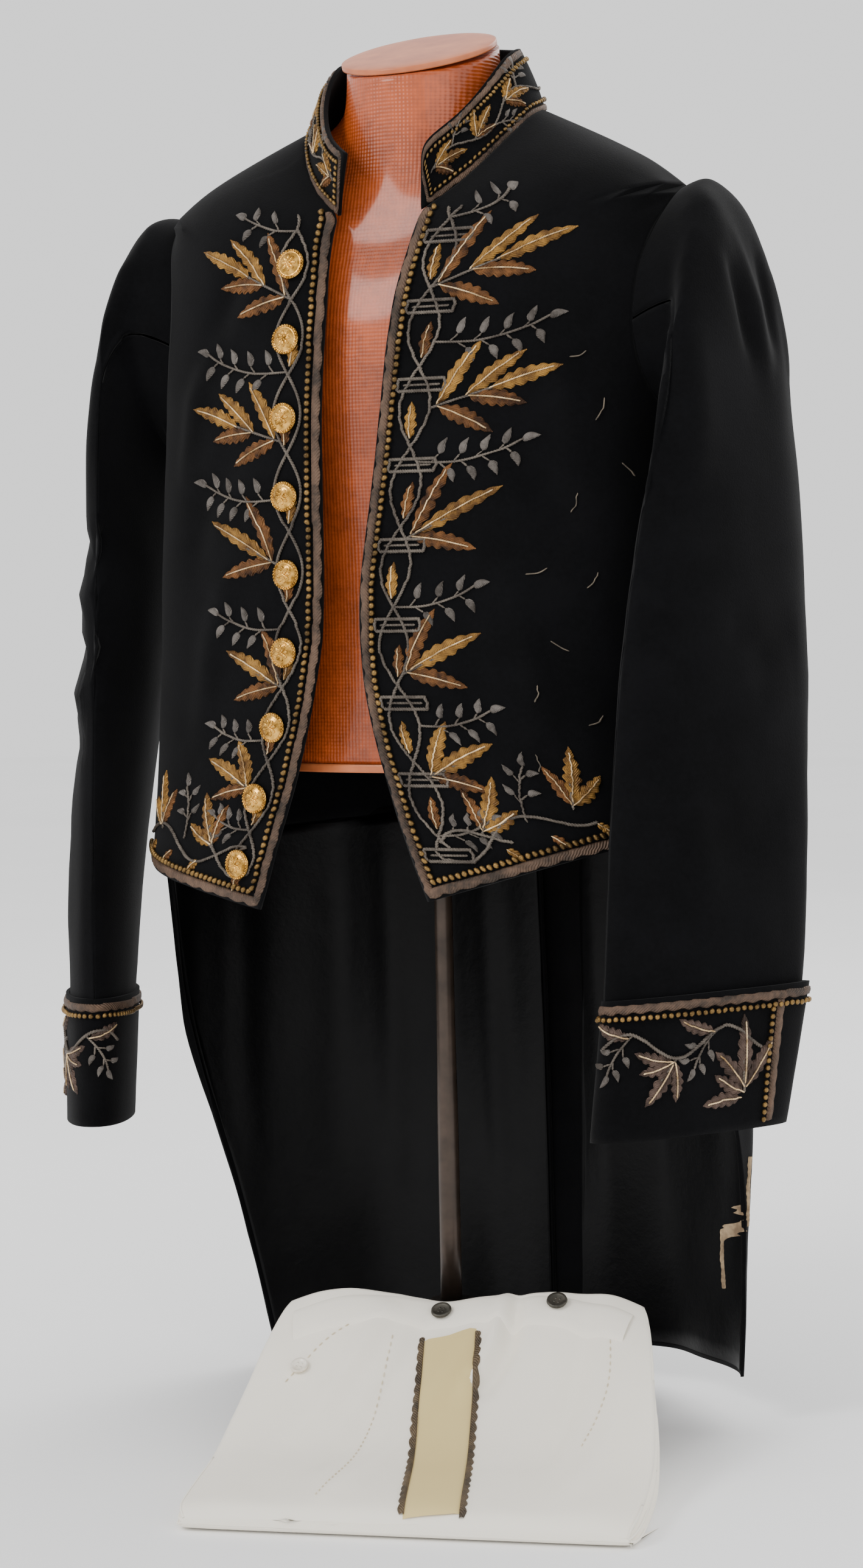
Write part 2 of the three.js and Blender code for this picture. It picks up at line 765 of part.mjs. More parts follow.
// Edge of a front in its chart: down the opening, then back along the hem.
const HEM_LAST_BEARING = 75;
function frontPath(side, pitch) {
  const points = [];
  for (let z = 842; z > 384; z -= 2) points.push([alongOf(edgeBearing(side, z)), z]);
  const corner = edgeAtRow(side, 0);
  for (let bearing = corner; bearing <= HEM_LAST_BEARING; bearing += 1)
    points.push([alongOf(bearing), bodyPoint(side)(bearing, 0)[2]]);
  return resample(points, pitch);
}

function resample(points, pitch) {
  const lengths = [0];
  for (let i = 1; i < points.length; i += 1) {
    const [a, b] = [points[i - 1], points[i]];
    lengths.push(lengths[i - 1] + Math.hypot(b[0] - a[0], b[1] - a[1]));
  }
  const total = lengths[lengths.length - 1];
  const count = Math.max(2, Math.round(total / pitch));
  const at = (distance) => {
    let i = 1;
    while (i < lengths.length - 1 && lengths[i] < distance) i += 1;
    const s = (distance - lengths[i - 1]) / (lengths[i] - lengths[i - 1] || 1);
    return [lerp(points[i - 1][0], points[i][0], s), lerp(points[i - 1][1], points[i][1], s)];
  };
  return steps(count, 0, total).map(at);
}

// Inward normal of a path that keeps the cloth on its left hand when read downward.
function inwardAt(path, i) {
  const a = path[Math.max(0, i - 1)];
  const b = path[Math.min(path.length - 1, i + 1)];
  const l = Math.hypot(b[0] - a[0], b[1] - a[1]) || 1;
  return [-(b[1] - a[1]) / l, (b[0] - a[0]) / l];
}

function ribbon({ path, outer, inner, low, high, toWorld, stride = 1 }) {
  const stations = path.map((_, i) => i).filter((i) => i % stride === 0 || i === path.length - 1);
  const skin = (h) =>
    stations.map((i) =>
      [outer(i), inner(i)].map((d) => {
        const n = inwardAt(path, i);
        return toWorld(path[i][0] + n[0] * d, path[i][1] + n[1] * d, h);
      }),
    );
  return closeGrids(skin(high), skin(low));
}

const scallop = (i) => -0.8 - (i % 2 === 0 ? 0 : SCALLOP_DEPTH);

function addFrontTrim(label, side) {
  const toWorld = (along, z, h) => chartPoint(along, z, h, side);
  const path = frontPath(side, SCALLOP_PITCH / 2);
  const shared = { path, toWorld, low: TRIM_LIFT };
  const braid = { outer: scallop, inner: () => BRAID_WIDTH - 0.8, high: TRIM_LIFT + BRAID_HEIGHT };
  const beading = {
    outer: () => BRAID_WIDTH,
    inner: () => BRAID_WIDTH + 3.8,
    high: TRIM_LIFT + BEADING_HEIGHT,
    stride: 2,
  };
  put(`front_braid_${label}`, ribbon({ ...shared, ...braid }), "braidGold");
  put(`front_beading_${label}`, ribbon({ ...shared, ...beading }), "beadGold");
}

// ---------------------------------------------------------------- embroidery: flat shapes laid on a surface
function prism(outline, low, high) {
  const flat = outline.map(([x, y]) => new THREE.Vector2(x, y));
  if (THREE.ShapeUtils.area(flat) < 0) flat.reverse();
  const caps = THREE.ShapeUtils.triangulateShape(flat, []);
  const n = flat.length;
  const points = [...flat.map((p) => [p.x, p.y, high]), ...flat.map((p) => [p.x, p.y, low])];
  const triangles = [];
  for (const [a, b, c] of caps) triangles.push([a, b, c], [n + a, n + c, n + b]);
  for (let i = 0; i < n; i += 1) {
    const j = (i + 1) % n;
    triangles.push([i, n + i, n + j], [i, n + j, j]);
  }
  return new wasm.Manifold(
    new wasm.Mesh({
      numProp: 3,
      vertProperties: new Float32Array(points.flat()),
      triVerts: new Uint32Array(triangles.flat()),
    }),
  );
}

function strip(points, width) {
  const side = (sign) =>
    points.map((p, i) => {
      const n = inwardAt(points, i);
      return [p[0] + (n[0] * sign * width) / 2, p[1] + (n[1] * sign * width) / 2];
    });
  return [...side(1), ...side(-1).reverse()];
}

// A spray of oak leaves as one outline: each leaf a lobe, a tip and a lobe, with a notch between neighbours.
function oakSpray([x, y], angle, leaves, length, spread = 0.6) {
  const at = (turn, reach) => [x + Math.cos(angle + turn) * reach, y + Math.sin(angle + turn) * reach];
  const outline = [at(Math.PI, 2.6)];
  for (let i = 0; i < leaves; i += 1) {
    const off = i - (leaves - 1) / 2;
    const reach = length * (1 - 0.1 * Math.abs(off));
    outline.push(at((off - 0.5) * spread, length * 0.24));
    const [near, turn] = [reach * 0.7, off * spread];
    outline.push(at(turn - 0.17, near), at(turn, reach), at(turn + 0.17, near));
  }
  outline.push(at((leaves / 2) * spread, length * 0.24));
  return outline;
}

// A laurel twig as one outline: a thin stem with buds standing off it by turns.
function laurelTwig([x, y], angle, length, buds) {
  const at = (along, across) => [
    x + Math.cos(angle) * along - Math.sin(angle) * across,
    y + Math.sin(angle) * along + Math.cos(angle) * across,
  ];
  const flank = (sign, offset) => {
    const list = [at(-1.6, sign * 0.9)];
    for (let i = 0; i < buds; i += 1) {
      const foot = length * (0.22 + (0.62 * (i + offset)) / buds);
      list.push(at(foot, sign * 0.9), at(foot + 7.5, sign * 10.5), at(foot + 5.4, sign * 0.9));
    }
    list.push(at(length, sign * 0.9), at(length + 5, sign * 3));
    return list;
  };
  return [...flank(1, 0.45), at(length + 11, 0), ...flank(-1, 0).reverse()];
}

// Two small leaves lying along a loop of the vine, as one outline.
function loopLeaf([x, y], angle, length, width) {
  const at = (along, across) => [
    x + Math.cos(angle) * along - Math.sin(angle) * across,
    y + Math.sin(angle) * along + Math.cos(angle) * across,
  ];
  const shoulder = length * 0.55;
  const half = [[length, 0.3], [shoulder, width / 2], [0, 1.3], [-shoulder, width / 2], [-length, 0.3]];
  return [...half, ...half.map(([u, v]) => [u, -v]).reverse()].map(([u, v]) => at(u, v));
}

function unionOf(outlines, low, high) {
  return outlines.map((outline) => prism(outline, low, high)).reduce((a, b) => a.add(b));
}

// Splits edges longer than the limit across, so that the laid shape follows the surface.
function refine(points, triangles, limit) {
  let faces = triangles;
  for (let pass = 0; pass < 6; pass += 1) {
    const middles = new Map();
    const halve = (a, b) => {
      if (Math.abs(points[a][0] - points[b][0]) <= limit) return -1;
      const key = a < b ? `${a}_${b}` : `${b}_${a}`;
      if (!middles.has(key)) {
        points.push(points[a].map((value, i) => (value + points[b][i]) / 2));
        middles.set(key, points.length - 1);
      }
      return middles.get(key);
    };
    const next = [];
    for (const [a, b, c] of faces) {
      const [ab, bc, ca] = [halve(a, b), halve(b, c), halve(c, a)];
      const cuts = [ab, bc, ca].filter((m) => m >= 0).length;
      if (cuts === 0) next.push([a, b, c]);
      else if (cuts === 3) next.push([a, ab, ca], [ab, b, bc], [ca, bc, c], [ab, bc, ca]);
      else if (cuts === 1) {
        if (ab >= 0) next.push([a, ab, c], [ab, b, c]);
        else if (bc >= 0) next.push([b, bc, a], [bc, c, a]);
        else next.push([c, ca, b], [ca, a, b]);
      } else if (ab < 0) next.push([c, ca, bc], [ca, a, bc], [a, b, bc]);
      else if (bc < 0) next.push([a, ab, ca], [ab, b, ca], [b, c, ca]);
      else next.push([b, bc, ab], [bc, c, ab], [c, a, ab]);
    }
    faces = next;
    if (middles.size === 0) break;
  }
  return faces;
}

// Closed loops round the upper face of a joined flat shape, without points that add nothing.
function outlinesOf(solid, high) {
  const mesh = solid.getMesh();
  const point = (i) => [...mesh.vertProperties.slice(i * mesh.numProp, i * mesh.numProp + 3)];
  const isTop = (i) => Math.abs(point(i)[2] - high) < 1e-3;
  const edges = new Set();
  for (let i = 0; i < mesh.triVerts.length; i += 3) {
    const face = [...mesh.triVerts.slice(i, i + 3)];
    if (face.every(isTop)) face.forEach((a, k) => edges.add(`${a}_${face[(k + 1) % 3]}`));
  }
  const next = new Map();
  for (const edge of edges) {
    const [a, b] = edge.split("_").map(Number);
    if (!edges.has(`${b}_${a}`)) next.set(a, b);
  }
  const loops = [];
  while (next.size > 0) {
    const start = next.keys().next().value;
    const loop = [];
    for (let at = start; next.has(at); ) {
      loop.push(point(at).slice(0, 2));
      const to = next.get(at);
      next.delete(at);
      at = to;
    }
    const clean = tidyLoop(loop);
    if (clean.length > 2) loops.push(clean);
  }
  return loops;
}

function tidyLoop(loop) {
  let points = loop;
  for (let pass = 0; pass < 3; pass += 1) {
    points = points.filter((p, i) => {
      const before = points[(i + points.length - 1) % points.length];
      return Math.hypot(p[0] - before[0], p[1] - before[1]) > 0.25;
    });
    points = points.filter((p, i) => {
      const a = points[(i + points.length - 1) % points.length];
      const b = points[(i + 1) % points.length];
      const l = Math.hypot(b[0] - a[0], b[1] - a[1]) || 1;
      const off = Math.abs((b[0] - a[0]) * (p[1] - a[1]) - (b[1] - a[1]) * (p[0] - a[0])) / l;
      return off > 0.06 || i % 2 === 1;
    });
  }
  return points;
}

function loopArea(loop) {
  return loop.reduce((sum, [x, y], i) => {
    const [u, v] = loop[(i + 1) % loop.length];
    return sum + (x * v - u * y) / 2;
  }, 0);
}

function laid(outlines, low, high, toWorld, limit = 20) {
  const loops = outlinesOf(unionOf(outlines, low, high), high).filter((loop) => Math.abs(loopArea(loop)) > 2);
  loops.sort((a, b) => Math.abs(loopArea(b)) - Math.abs(loopArea(a)));
  const [outer, ...holes] = loops.map((loop) => loop.map(([x, y]) => new THREE.Vector2(x, y)));
  const caps = THREE.ShapeUtils.triangulateShape(outer, holes);
  const flat = loops.flat();
  const n = flat.length;
  const points = [...flat.map(([x, y]) => [x, y, high]), ...flat.map(([x, y]) => [x, y, low])];
  const triangles = [];
  for (const [a, b, c] of caps) triangles.push([a, b, c], [n + a, n + c, n + b]);
  let start = 0;
  for (const loop of loops) {
    for (let i = 0; i < loop.length; i += 1) {
      const [a, b] = [start + i, start + ((i + 1) % loop.length)];
      triangles.push([a, n + a, n + b], [a, n + b, b]);
    }
    start += loop.length;
  }
  const faces = refine(points, triangles, limit);
  return solidFrom(points.map(([x, y, h]) => toWorld(x, y, h)), faces);
}

// The vine down a front: a cord that swings round each button, and a spray outside it.
function frontVine(side) {
  const heights = side > 0 ? BUTTONHOLE_Z : BUTTON_Z;
  const edge = (z) => alongOf(edgeBearing(side, z));
  const shapes = [];
  const middles = heights.map((z) => edge(z) + BUTTON_INSET);
  const points = [];
  heights.forEach((z, n) => {
    const last = n === heights.length - 1;
    const step = last ? 0 : heights[n + 1] - z;
    points.push([middles[n] + 5, z + 13], [middles[n] + (n === 0 ? 18.5 : 17), z]);
    if (last) return;
    points.push([middles[n] + 5, z - 13], [(middles[n] + middles[n + 1]) / 2 - 7, z + step / 2]);
  });
  shapes.push(strip(points, CORD_WIDTH));
  for (const spray of side > 0 ? LEFT_SPRAYS : RIGHT_SPRAYS) {
    const foot = [edge(spray.z) + BUTTON_INSET + besideButton(spray.z, side), spray.z];
    shapes.push(strip([[acrossAt(points, spray.z), spray.z], foot], CORD_WIDTH));
    if (spray.leaves > 0) shapes.push(oakSpray(foot, spray.rise, spray.leaves, spray.reach, 0.5));
    else shapes.push(laurelTwig(foot, spray.rise, spray.reach - 10, spray.reach > 34 ? 2 : 1));
  }
  if (side > 0) for (const z of heights) shapes.push(buttonhole([edge(z) + 14, z]));
  shapes.push(...hemVine(side, heights[heights.length - 1]));
  return shapes;
}

// How far out a spray's foot stands so that it clears the nearest button.
function besideButton(z, side) {
  if (side > 0) return 8;
  const gap = Math.min(...BUTTON_Z.map((buttonZ) => Math.abs(buttonZ - z)));
  return gap < BUTTON_CLEARANCE - 5 ? BUTTON_CLEARANCE + 3 : 14;
}

// Where a line that runs down the front is at a height.
function acrossAt(points, z) {
  const k = points.findIndex((p) => p[1] <= z);
  if (k < 1) return k < 0 ? points[points.length - 1][0] : points[0][0];
  const [a, b] = [points[k - 1], points[k]];
  return lerp(a[0], b[0], (a[1] - z) / (a[1] - b[1]));
}

// A cord-bound buttonhole as a raised tab.
function buttonhole([x, z]) {
  const h = BUTTONHOLE_HEIGHT / 2;
  return [
    [x, z - h],
    [x + BUTTONHOLE_LENGTH, z - h],
    [x + BUTTONHOLE_LENGTH, z + h],
    [x, z + h],
  ];
}

// The vine turns the corner and runs back along the hem.
function hemVine(side, lastZ) {
  const corner = edgeAtRow(side, 0);
  const hemZ = (along) => bodyPoint(side)(bearingOf(along), 0)[2];
  const start = alongOf(corner) + BUTTON_INSET + 12;
  const finish = alongOf(HEM_LAST_BEARING - 2);
  const cord = [];
  const count = 12;
  for (let i = 0; i <= count; i += 1) {
    const along = lerp(start, finish, i / count);
    cord.push([along, hemZ(along) + 25 - 7 * Math.cos((Math.PI * i) / 3)]);
  }
  const lastAlong = alongOf(edgeBearing(side, lastZ)) + BUTTON_INSET + 14;
  const join = strip([[lastAlong, lastZ + 3], [start + 3, hemZ(start) + 19]], CORD_WIDTH);
  const shapes = [strip(cord, CORD_WIDTH), join];
  [3, 6, 9].forEach((i, k) => {
    const [x, z] = cord[i];
    if (k % 2 === 0) shapes.push(oakSpray([x, z - 1], 1.35, 3, k === 0 ? 30 : 26));
    else shapes.push(laurelTwig([x, z - 1], 1.4, 16, 1));
  });
  return shapes;
}

function addVine(label, side) {
  put(
    `front_embroidery_${label}`,
    laid(frontVine(side), TRIM_LIFT, TRIM_LIFT + EMBROIDERY_HEIGHT, (x, z, h) => chartPoint(x, z, h, side)),
    "oakGold",
  );
}

// ---------------------------------------------------------------- collar and cuff embroidery
function liftOn(pointAt, u, v, h, facing, side) {
  const e = 0.02;
  const du = pointAt(u + e, v).map((value, i) => value - pointAt(u - e, v)[i]);
  const dv = pointAt(u, v + e).map((value, i) => value - pointAt(u, v - e)[i]);
  return bend(mirror(add3(pointAt(u, v), unit(cross(du, dv)), h * facing), side));
}

function addCollarTrim(label, side) {
  const [base, top] = collarFront(side);
  const radius = 78;
  const height = 46;
  const toWorld = (x, y, h) => {
    const level = Math.min(1, Math.max(0, y / height));
    const bearing = lerp(base, top, level) + x / radius / DEG;
    return liftOn(collarPoint, bearing, level, h, 1, side);
  };
  const length = 150;
  const path = [
    ...steps(16, length, 0).map((x) => [x, height - 1.5]),
    ...steps(4, height - 8, 2).map((y) => [1.5, y]),
  ];
  put(
    `collar_braid_${label}`,
    ribbon({
      path,
      toWorld,
      outer: () => 0,
      inner: () => 5,
      low: TRIM_LIFT,
      high: TRIM_LIFT + BRAID_HEIGHT,
    }),
    "braidGold",
  );
  const cord = steps(12, 12, length - 6).map((x, i) => [x, 20 + 6.5 * Math.sin((Math.PI * i) / 3)]);
  const shapes = [strip(cord, CORD_WIDTH)];
  [1, 5, 9].forEach((i, k) => {
    const [x, y] = cord[i];
    if (k % 2 === 0) shapes.push(oakSpray([x, y], 0.3, 3, 17));
    else shapes.push(loopLeaf([x, y], 0.9, 9, 5.5));
  });
  put(
    `collar_embroidery_${label}`,
    laid(shapes, TRIM_LIFT, TRIM_LIFT + EMBROIDERY_HEIGHT, toWorld, 12),
    "oakGold",
  );
}

function addCuffTrim(label, side) {
  const onCuff = (bearing, row) => sleevePoint(bearing, row, side);
  const lift = CUFF_LIFT + CUFF_WALL + TRIM_LIFT - 0.1;
  const loop = [...TOP_BEARINGS, ...UNDER_BEARINGS.slice(1, -1)];
  const band = (row, h) => loop.map((bearing) => liftOn(onCuff, bearing, row, h, -1, side));
  put(
    `cuff_braid_${label}`,
    closeGrids(
      [band(CUFF_TOP_ROW + 0.02, lift + BRAID_HEIGHT), band(11.07, lift + BRAID_HEIGHT)],
      [band(CUFF_TOP_ROW + 0.02, lift), band(11.07, lift)],
      true,
    ),
    "braidGold",
  );
  // the outer face of the cuff as a chart: x along the flat from the front fold, y up from the lower edge
  const rows = [];
  let along = 0;
  for (let bearing = 0; bearing <= 180; bearing += 3) {
    if (bearing > 0) {
      const [a, b] = [onCuff(bearing - 3, 11.5), onCuff(bearing, 11.5)];
      along += Math.hypot(a[0] - b[0], a[1] - b[1]);
    }
    rows.push({ bearing, along });
  }
  const total = along;
  const toWorld = (x, y, h) => liftOn(onCuff, curve(rows, "along", "bearing", x), 12 - y / 87, h, -1, side);
  const cord = steps(8, 22, total - 22).map((x, i) => [x, 40 + 7 * Math.sin((Math.PI * i) / 2)]);
  const shapes = [strip(cord, CORD_WIDTH)];
  for (const i of [1, 5]) shapes.push(oakSpray(cord[i], 1.1, 3, 25));
  put(`cuff_embroidery_${label}`, laid(shapes, lift, lift + EMBROIDERY_HEIGHT, toWorld, 16), "oakGold");
}

// ---------------------------------------------------------------- turned pieces
function lathe(profile, segments = 24) {
  const inner = profile.filter(([r]) => r > 1e-6);
  const points = [];
  for (const [r, z] of inner)
    for (let i = 0; i < segments; i += 1) {
      const a = (2 * Math.PI * i) / segments;
      points.push([r * Math.cos(a), r * Math.sin(a), z]);
    }
  const bottom = points.push([0, 0, inner[0][1]]) - 1;
  const last = profile[profile.length - 1];
  const topZ = last[0] < 1e-6 ? last[1] : inner[inner.length - 1][1];
  const top = points.push([0, 0, topZ]) - 1;
  const triangles = [];
  for (let j = 0; j < inner.length - 1; j += 1)
    for (let i = 0; i < segments; i += 1) {
      const k = (i + 1) % segments;
      const [low, high] = [j * segments, (j + 1) * segments];
      const [a, b, c, d] = [low + i, low + k, high + k, high + i];
      triangles.push([a, b, c], [a, c, d]);
    }
  const end = (inner.length - 1) * segments;
  for (let i = 0; i < segments; i += 1) {
    const k = (i + 1) % segments;
    triangles.push([bottom, k, i], [top, end + i, end + k]);
  }
  return { points, triangles };
}

function placed({ points, triangles }, origin, axis) {
  const up = new THREE.Vector3(0, 0, 1);
  const foot = new THREE.Vector3(...origin);
  const turn = new THREE.Quaternion().setFromUnitVectors(up, new THREE.Vector3(...axis));
  const moved = points.map((p) => new THREE.Vector3(...p).applyQuaternion(turn).add(foot).toArray());
  return solidFrom(moved, triangles);
}

function addButtons() {
  const r = BUTTON_DIAMETER / 2;
  const profile = [
    [r * 0.92, 0],
    [r, 2],
    [r * 0.9, 3.8],
    [r * 0.5, BUTTON_HEIGHT - 0.6],
    [0, BUTTON_HEIGHT],
  ];
  BUTTON_Z.forEach((z, n) => {
    const along = alongOf(edgeBearing(-1, z)) + BUTTON_INSET;
    const foot = chartPoint(along, z, TRIM_LIFT, -1);
    const axis = unit(chartPoint(along, z, 10, -1).map((value, i) => value - foot[i]));
    put(`button_${n + 1}`, placed(lathe(profile, 10), foot, axis), "gilt");
  });
}

// ---------------------------------------------------------------- dress form and stand
function addForm() {
  const columns = 20;
  const rows = steps(12, 0, 12);
  const points = [];
  for (const row of rows) {
    const ring = ringAt(FORM, row);
    for (let i = 0; i < columns; i += 1) points.push(ringPoint((360 * i) / columns, ring));
  }
  const bottom = points.push([0, 0, FORM_BOTTOM_Z]) - 1;
  const top = points.push([0, -10, 960]) - 1;
  const triangles = [];
  for (let j = 0; j < rows.length - 1; j += 1)
    for (let i = 0; i < columns; i += 1) {
      const k = (i + 1) % columns;
      const [a, b, c, d] = [j * columns + i, j * columns + k, (j + 1) * columns + k, (j + 1) * columns + i];
      triangles.push([a, b, c], [a, c, d]);
    }
  const end = (rows.length - 1) * columns;
  for (let i = 0; i < columns; i += 1) {
    const k = (i + 1) % columns;
    triangles.push([bottom, k, i], [top, end + i, end + k]);
  }
  put("form_torso", solidFrom(points, triangles), "form");
  const tilt = Math.atan2(20, 54);
  const cap = lathe(
    [
      [55.5, 0],
      [55.5, 3.4],
      [51, 4.8],
      [0, 5.2],
    ],
    20,
  );
  const capAxis = [0, -Math.sin(tilt), Math.cos(tilt)];
  put("form_neck_cap", placed(cap, add3([0, -10, 960], capAxis, 0.5), capAxis), "cap");
  const loop = (grow, z) =>
    Array.from({ length: columns }, (_, i) => {
      const { half, front, back } = FORM[0];
      const grown = { ...FORM[0], half: half + grow, front: front + grow, back: back + grow };
      const p = ringPoint((360 * i) / columns, grown);
      return [p[0], p[1], z];
    });
  put(
    "form_rim",
    closeGrids(
      [loop(1.2, FORM_BOTTOM_Z - 6), loop(1.2, FORM_BOTTOM_Z - 0.4)],
      [loop(-4, FORM_BOTTOM_Z - 6), loop(-4, FORM_BOTTOM_Z - 0.4)],
      true,
    ),
    "cap",
  );
  put(
    "pole",
    placed(
      lathe(
        [
          [POLE_RADIUS_LOW, 84.4],
          [POLE_RADIUS_LOW, 240],
          [POLE_RADIUS_HIGH + 0.4, 242],
          [POLE_RADIUS_HIGH, FORM_BOTTOM_Z - 0.4],
        ],
        14,
      ),
      [0, 0, 0],
      [0, 0, 1],
    ),
    "pole",
  );
  put("base", placed(lathe(BASE_PROFILE.map(({ r, z }) => [r, z]), 20), [0, 0, 0], [0, 0, 1]), "base");
}

// ---------------------------------------------------------------- folded trousers
function packetPlace([u, v, z]) {
  const turn = TROUSER_TURN * DEG;
  return [
    PACKET_ORIGIN.x + u * Math.cos(turn) - v * Math.sin(turn),
    PACKET_ORIGIN.y + u * Math.sin(turn) + v * Math.cos(turn),
    z,
  ];
}

const HALF_STEPS = [0.985, 0.82, 0.66, 0.5, 0.36, 0.23, 0.11];
const PACKET_STEPS = [...HALF_STEPS, 0, ...HALF_STEPS.map((s) => -s).reverse()];

function packetTop(u, v) {
  const half = curve(PACKET, "v", "half", v);
  const top = curve(PACKET, "v", "top", v);
  const edge = clamp01((Math.abs(u) / half - 0.8) / 0.2);
  const thick = top - curve(PACKET, "v", "under", v);
  let z = top - Math.min(6.5, 0.3 * thick) * edge * edge;
  for (const fold of PACKET_FOLDS)
    z += fold.swell * bell((u - fold.u - fold.slope * v) / fold.spread) * smooth((v - 14) / 50);
  const puff = smooth((v - 150) / 60);
  return z + puff * (4 * bell((u + 84) / 26) - 7 * bell((u + 22) / 24) + 5 * bell((u - 72) / 34));
}

function addTrousers() {
  const ring = (step) => {
    const { v, under, half } = step;
    const top = (u) => [u, v, packetTop(u, v)];
    const middle = (share) => lerp(under, packetTop(half, v), share);
    const thick = packetTop(half * 0.9, v) - under > 14;
    const flank = (sign) => {
      const groove = thick ? 4 : 0.8;
      const list = [
        [sign * (half - 2), v, under + 0.06 * (middle(1) - under)],
        [sign * half, v, middle(0.24)],
        [sign * (half - groove), v, middle(0.42)],
        [sign * (half - 1), v, middle(0.6)],
        [sign * (half - groove), v, middle(0.76)],
      ];
      return sign > 0 ? list : list.reverse();
    };
    return [
      ...[-0.94, -0.5, 0, 0.5, 0.94].map((s) => [s * half, v, under]),
      ...flank(1),
      ...PACKET_STEPS.map((s) => top(s * half)),
      ...flank(-1),
    ].map(packetPlace);
  };
  const rings = PACKET.map(ring);
  const columns = rings[0].length;
  const points = rings.flat();
  const triangles = [];
  for (let j = 0; j < rings.length - 1; j += 1)
    for (let i = 0; i < columns; i += 1) {
      const k = (i + 1) % columns;
      const [a, b, c, d] = [j * columns + i, j * columns + k, (j + 1) * columns + k, (j + 1) * columns + i];
      triangles.push([a, b, c], [a, c, d]);
    }
  const endCap = (start, list, flip) => {
    const flat = list.map(([u, , z]) => new THREE.Vector2(u, z));
    for (const [a, b, c] of THREE.ShapeUtils.triangulateShape(flat, []))
      triangles.push(flip ? [start + a, start + c, start + b] : [start + a, start + b, start + c]);
  };
  const flatRing = (step) => {
    const back = TROUSER_TURN * DEG;
    const across = (x, y) => (x - PACKET_ORIGIN.x) * Math.cos(back) + (y - PACKET_ORIGIN.y) * Math.sin(back);
    return ring(step).map(([x, y, z]) => [across(x, y), 0, z]);
  };
  endCap(0, flatRing(PACKET[0]), true);
  endCap((rings.length - 1) * columns, flatRing(PACKET[PACKET.length - 1]), false);
  put("trousers_folded", solidFrom(points, triangles), "cream");

  const surface = (u, v) => [u, v, packetTop(u, v)];
  const spine = (v) => 19 - (26 * v) / 200;
  put(
    "trouser_stripe",
    sheet({
      pointAt: (s, v) => surface(spine(v) + (s * STRIPE_WIDTH) / 2, v),
      us: steps(4, -1, 1),
      vs: [4.5, 12, 40, 85, 115, 150, 180, 186],
      low: 1.2,
      high: 2.6,
      place: packetPlace,
    }),
    "lace",
  );
  put(
    "trouser_waistband",
    sheet({
      pointAt: (s, v) => surface(s * curve(PACKET, "v", "half", v) * 0.95, v),
      us: steps(14, -1, 1),
      vs: steps(2, 216 - WAISTBAND_DEPTH, 216),
      low: 1.1,
      high: 3.1,
      place: packetPlace,
    }),
    "cream",
  );
  const button = (name, u, v, radius, height, lift, finish) => {
    const foot = packetPlace([u, v, packetTop(u, v)]);
    const e = 0.5;
    const du = packetPlace(surface(u + e, v)).map((value, i) => value - packetPlace(surface(u - e, v))[i]);
    const dv = packetPlace(surface(u, v + e)).map((value, i) => value - packetPlace(surface(u, v - e))[i]);
    const axis = unit(cross(du, dv));
    const profile = [
      [radius * 0.9, 0],
      [radius, height * 0.4],
      [radius * 0.92, height],
      [radius * 0.6, height * 0.8],
    ];
    put(name, placed(lathe(profile, 10), add3(foot, axis, lift), axis), finish);
  };
  button("trouser_button_1", -14, 204, 7.2, 3, 4.3, "pewter");
  button("trouser_button_2", 66, 204, 7.2, 3, 3.5, "pewter");
  button("trouser_pocket_button", -104, 160, 6.2, 2.6, 1.4, "pearl");
}

for (const [label, side] of SIDES) {
  addBody(label, side);
  addSleeve(label, side);
  addCollar(label, side);
  addTail(label, side);
  addFrontTrim(label, side);
  addVine(label, side);
  addCollarTrim(label, side);
  addCuffTrim(label, side);
}
addButtons();
addForm();
addTrousers();

export default group;
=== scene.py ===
"""Embroidered court dress coat on a dress form and stand, with folded trousers at its foot.

Each cloth piece is a smooth, creased copy of its solid. Braid, beads, cords and leaves are made flat,
in millimetres, and laid on the cloth through a chart of its outer face.
"""

import logging
import math
from collections.abc import Callable
from dataclasses import dataclass
from enum import Enum

import bmesh
import bpy
import numpy as np
from mathutils import Matrix, Vector, noise
from mathutils.bvhtree import BVHTree

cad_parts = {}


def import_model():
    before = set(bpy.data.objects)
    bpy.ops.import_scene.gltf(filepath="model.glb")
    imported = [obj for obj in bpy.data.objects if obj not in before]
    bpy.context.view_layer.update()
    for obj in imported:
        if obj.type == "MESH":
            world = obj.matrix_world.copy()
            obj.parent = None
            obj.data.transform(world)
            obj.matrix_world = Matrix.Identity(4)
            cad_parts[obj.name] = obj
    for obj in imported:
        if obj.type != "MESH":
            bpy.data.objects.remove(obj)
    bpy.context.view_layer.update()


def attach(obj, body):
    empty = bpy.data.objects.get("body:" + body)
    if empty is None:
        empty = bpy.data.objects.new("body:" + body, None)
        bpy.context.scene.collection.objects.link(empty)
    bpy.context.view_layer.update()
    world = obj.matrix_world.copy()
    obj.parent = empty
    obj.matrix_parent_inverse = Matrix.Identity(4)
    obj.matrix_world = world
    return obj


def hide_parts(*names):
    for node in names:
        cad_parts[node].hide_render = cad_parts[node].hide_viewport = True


MM = 0.001
SIDES = {"left": 1, "right": -1}
SEAM_EASE = 0.35  # each cloth grows by this much, so that its seams close
BUTTON_Z = (813, 762, 709, 656, 603, 550, 499, 450, 404)
BUTTONHOLE_Z = (826, 779, 727, 674, 621, 568, 516, 465, 415)
BUTTON_INSET = 28.0
BUTTON_SEAT = 0.7  # a button's foot stands this far above the cloth
SCALLOP_PITCH = 15.5
BEAD_PITCH = 5.0
BEAD_DIAMETER = 4.3
BEAD_INSET = 9.6
SUNK = -0.4  # the rim of sewn work lies this far in the cloth, so that no gap shows
PLY_TURN = 3.6  # one turn of a twisted cord's two plies
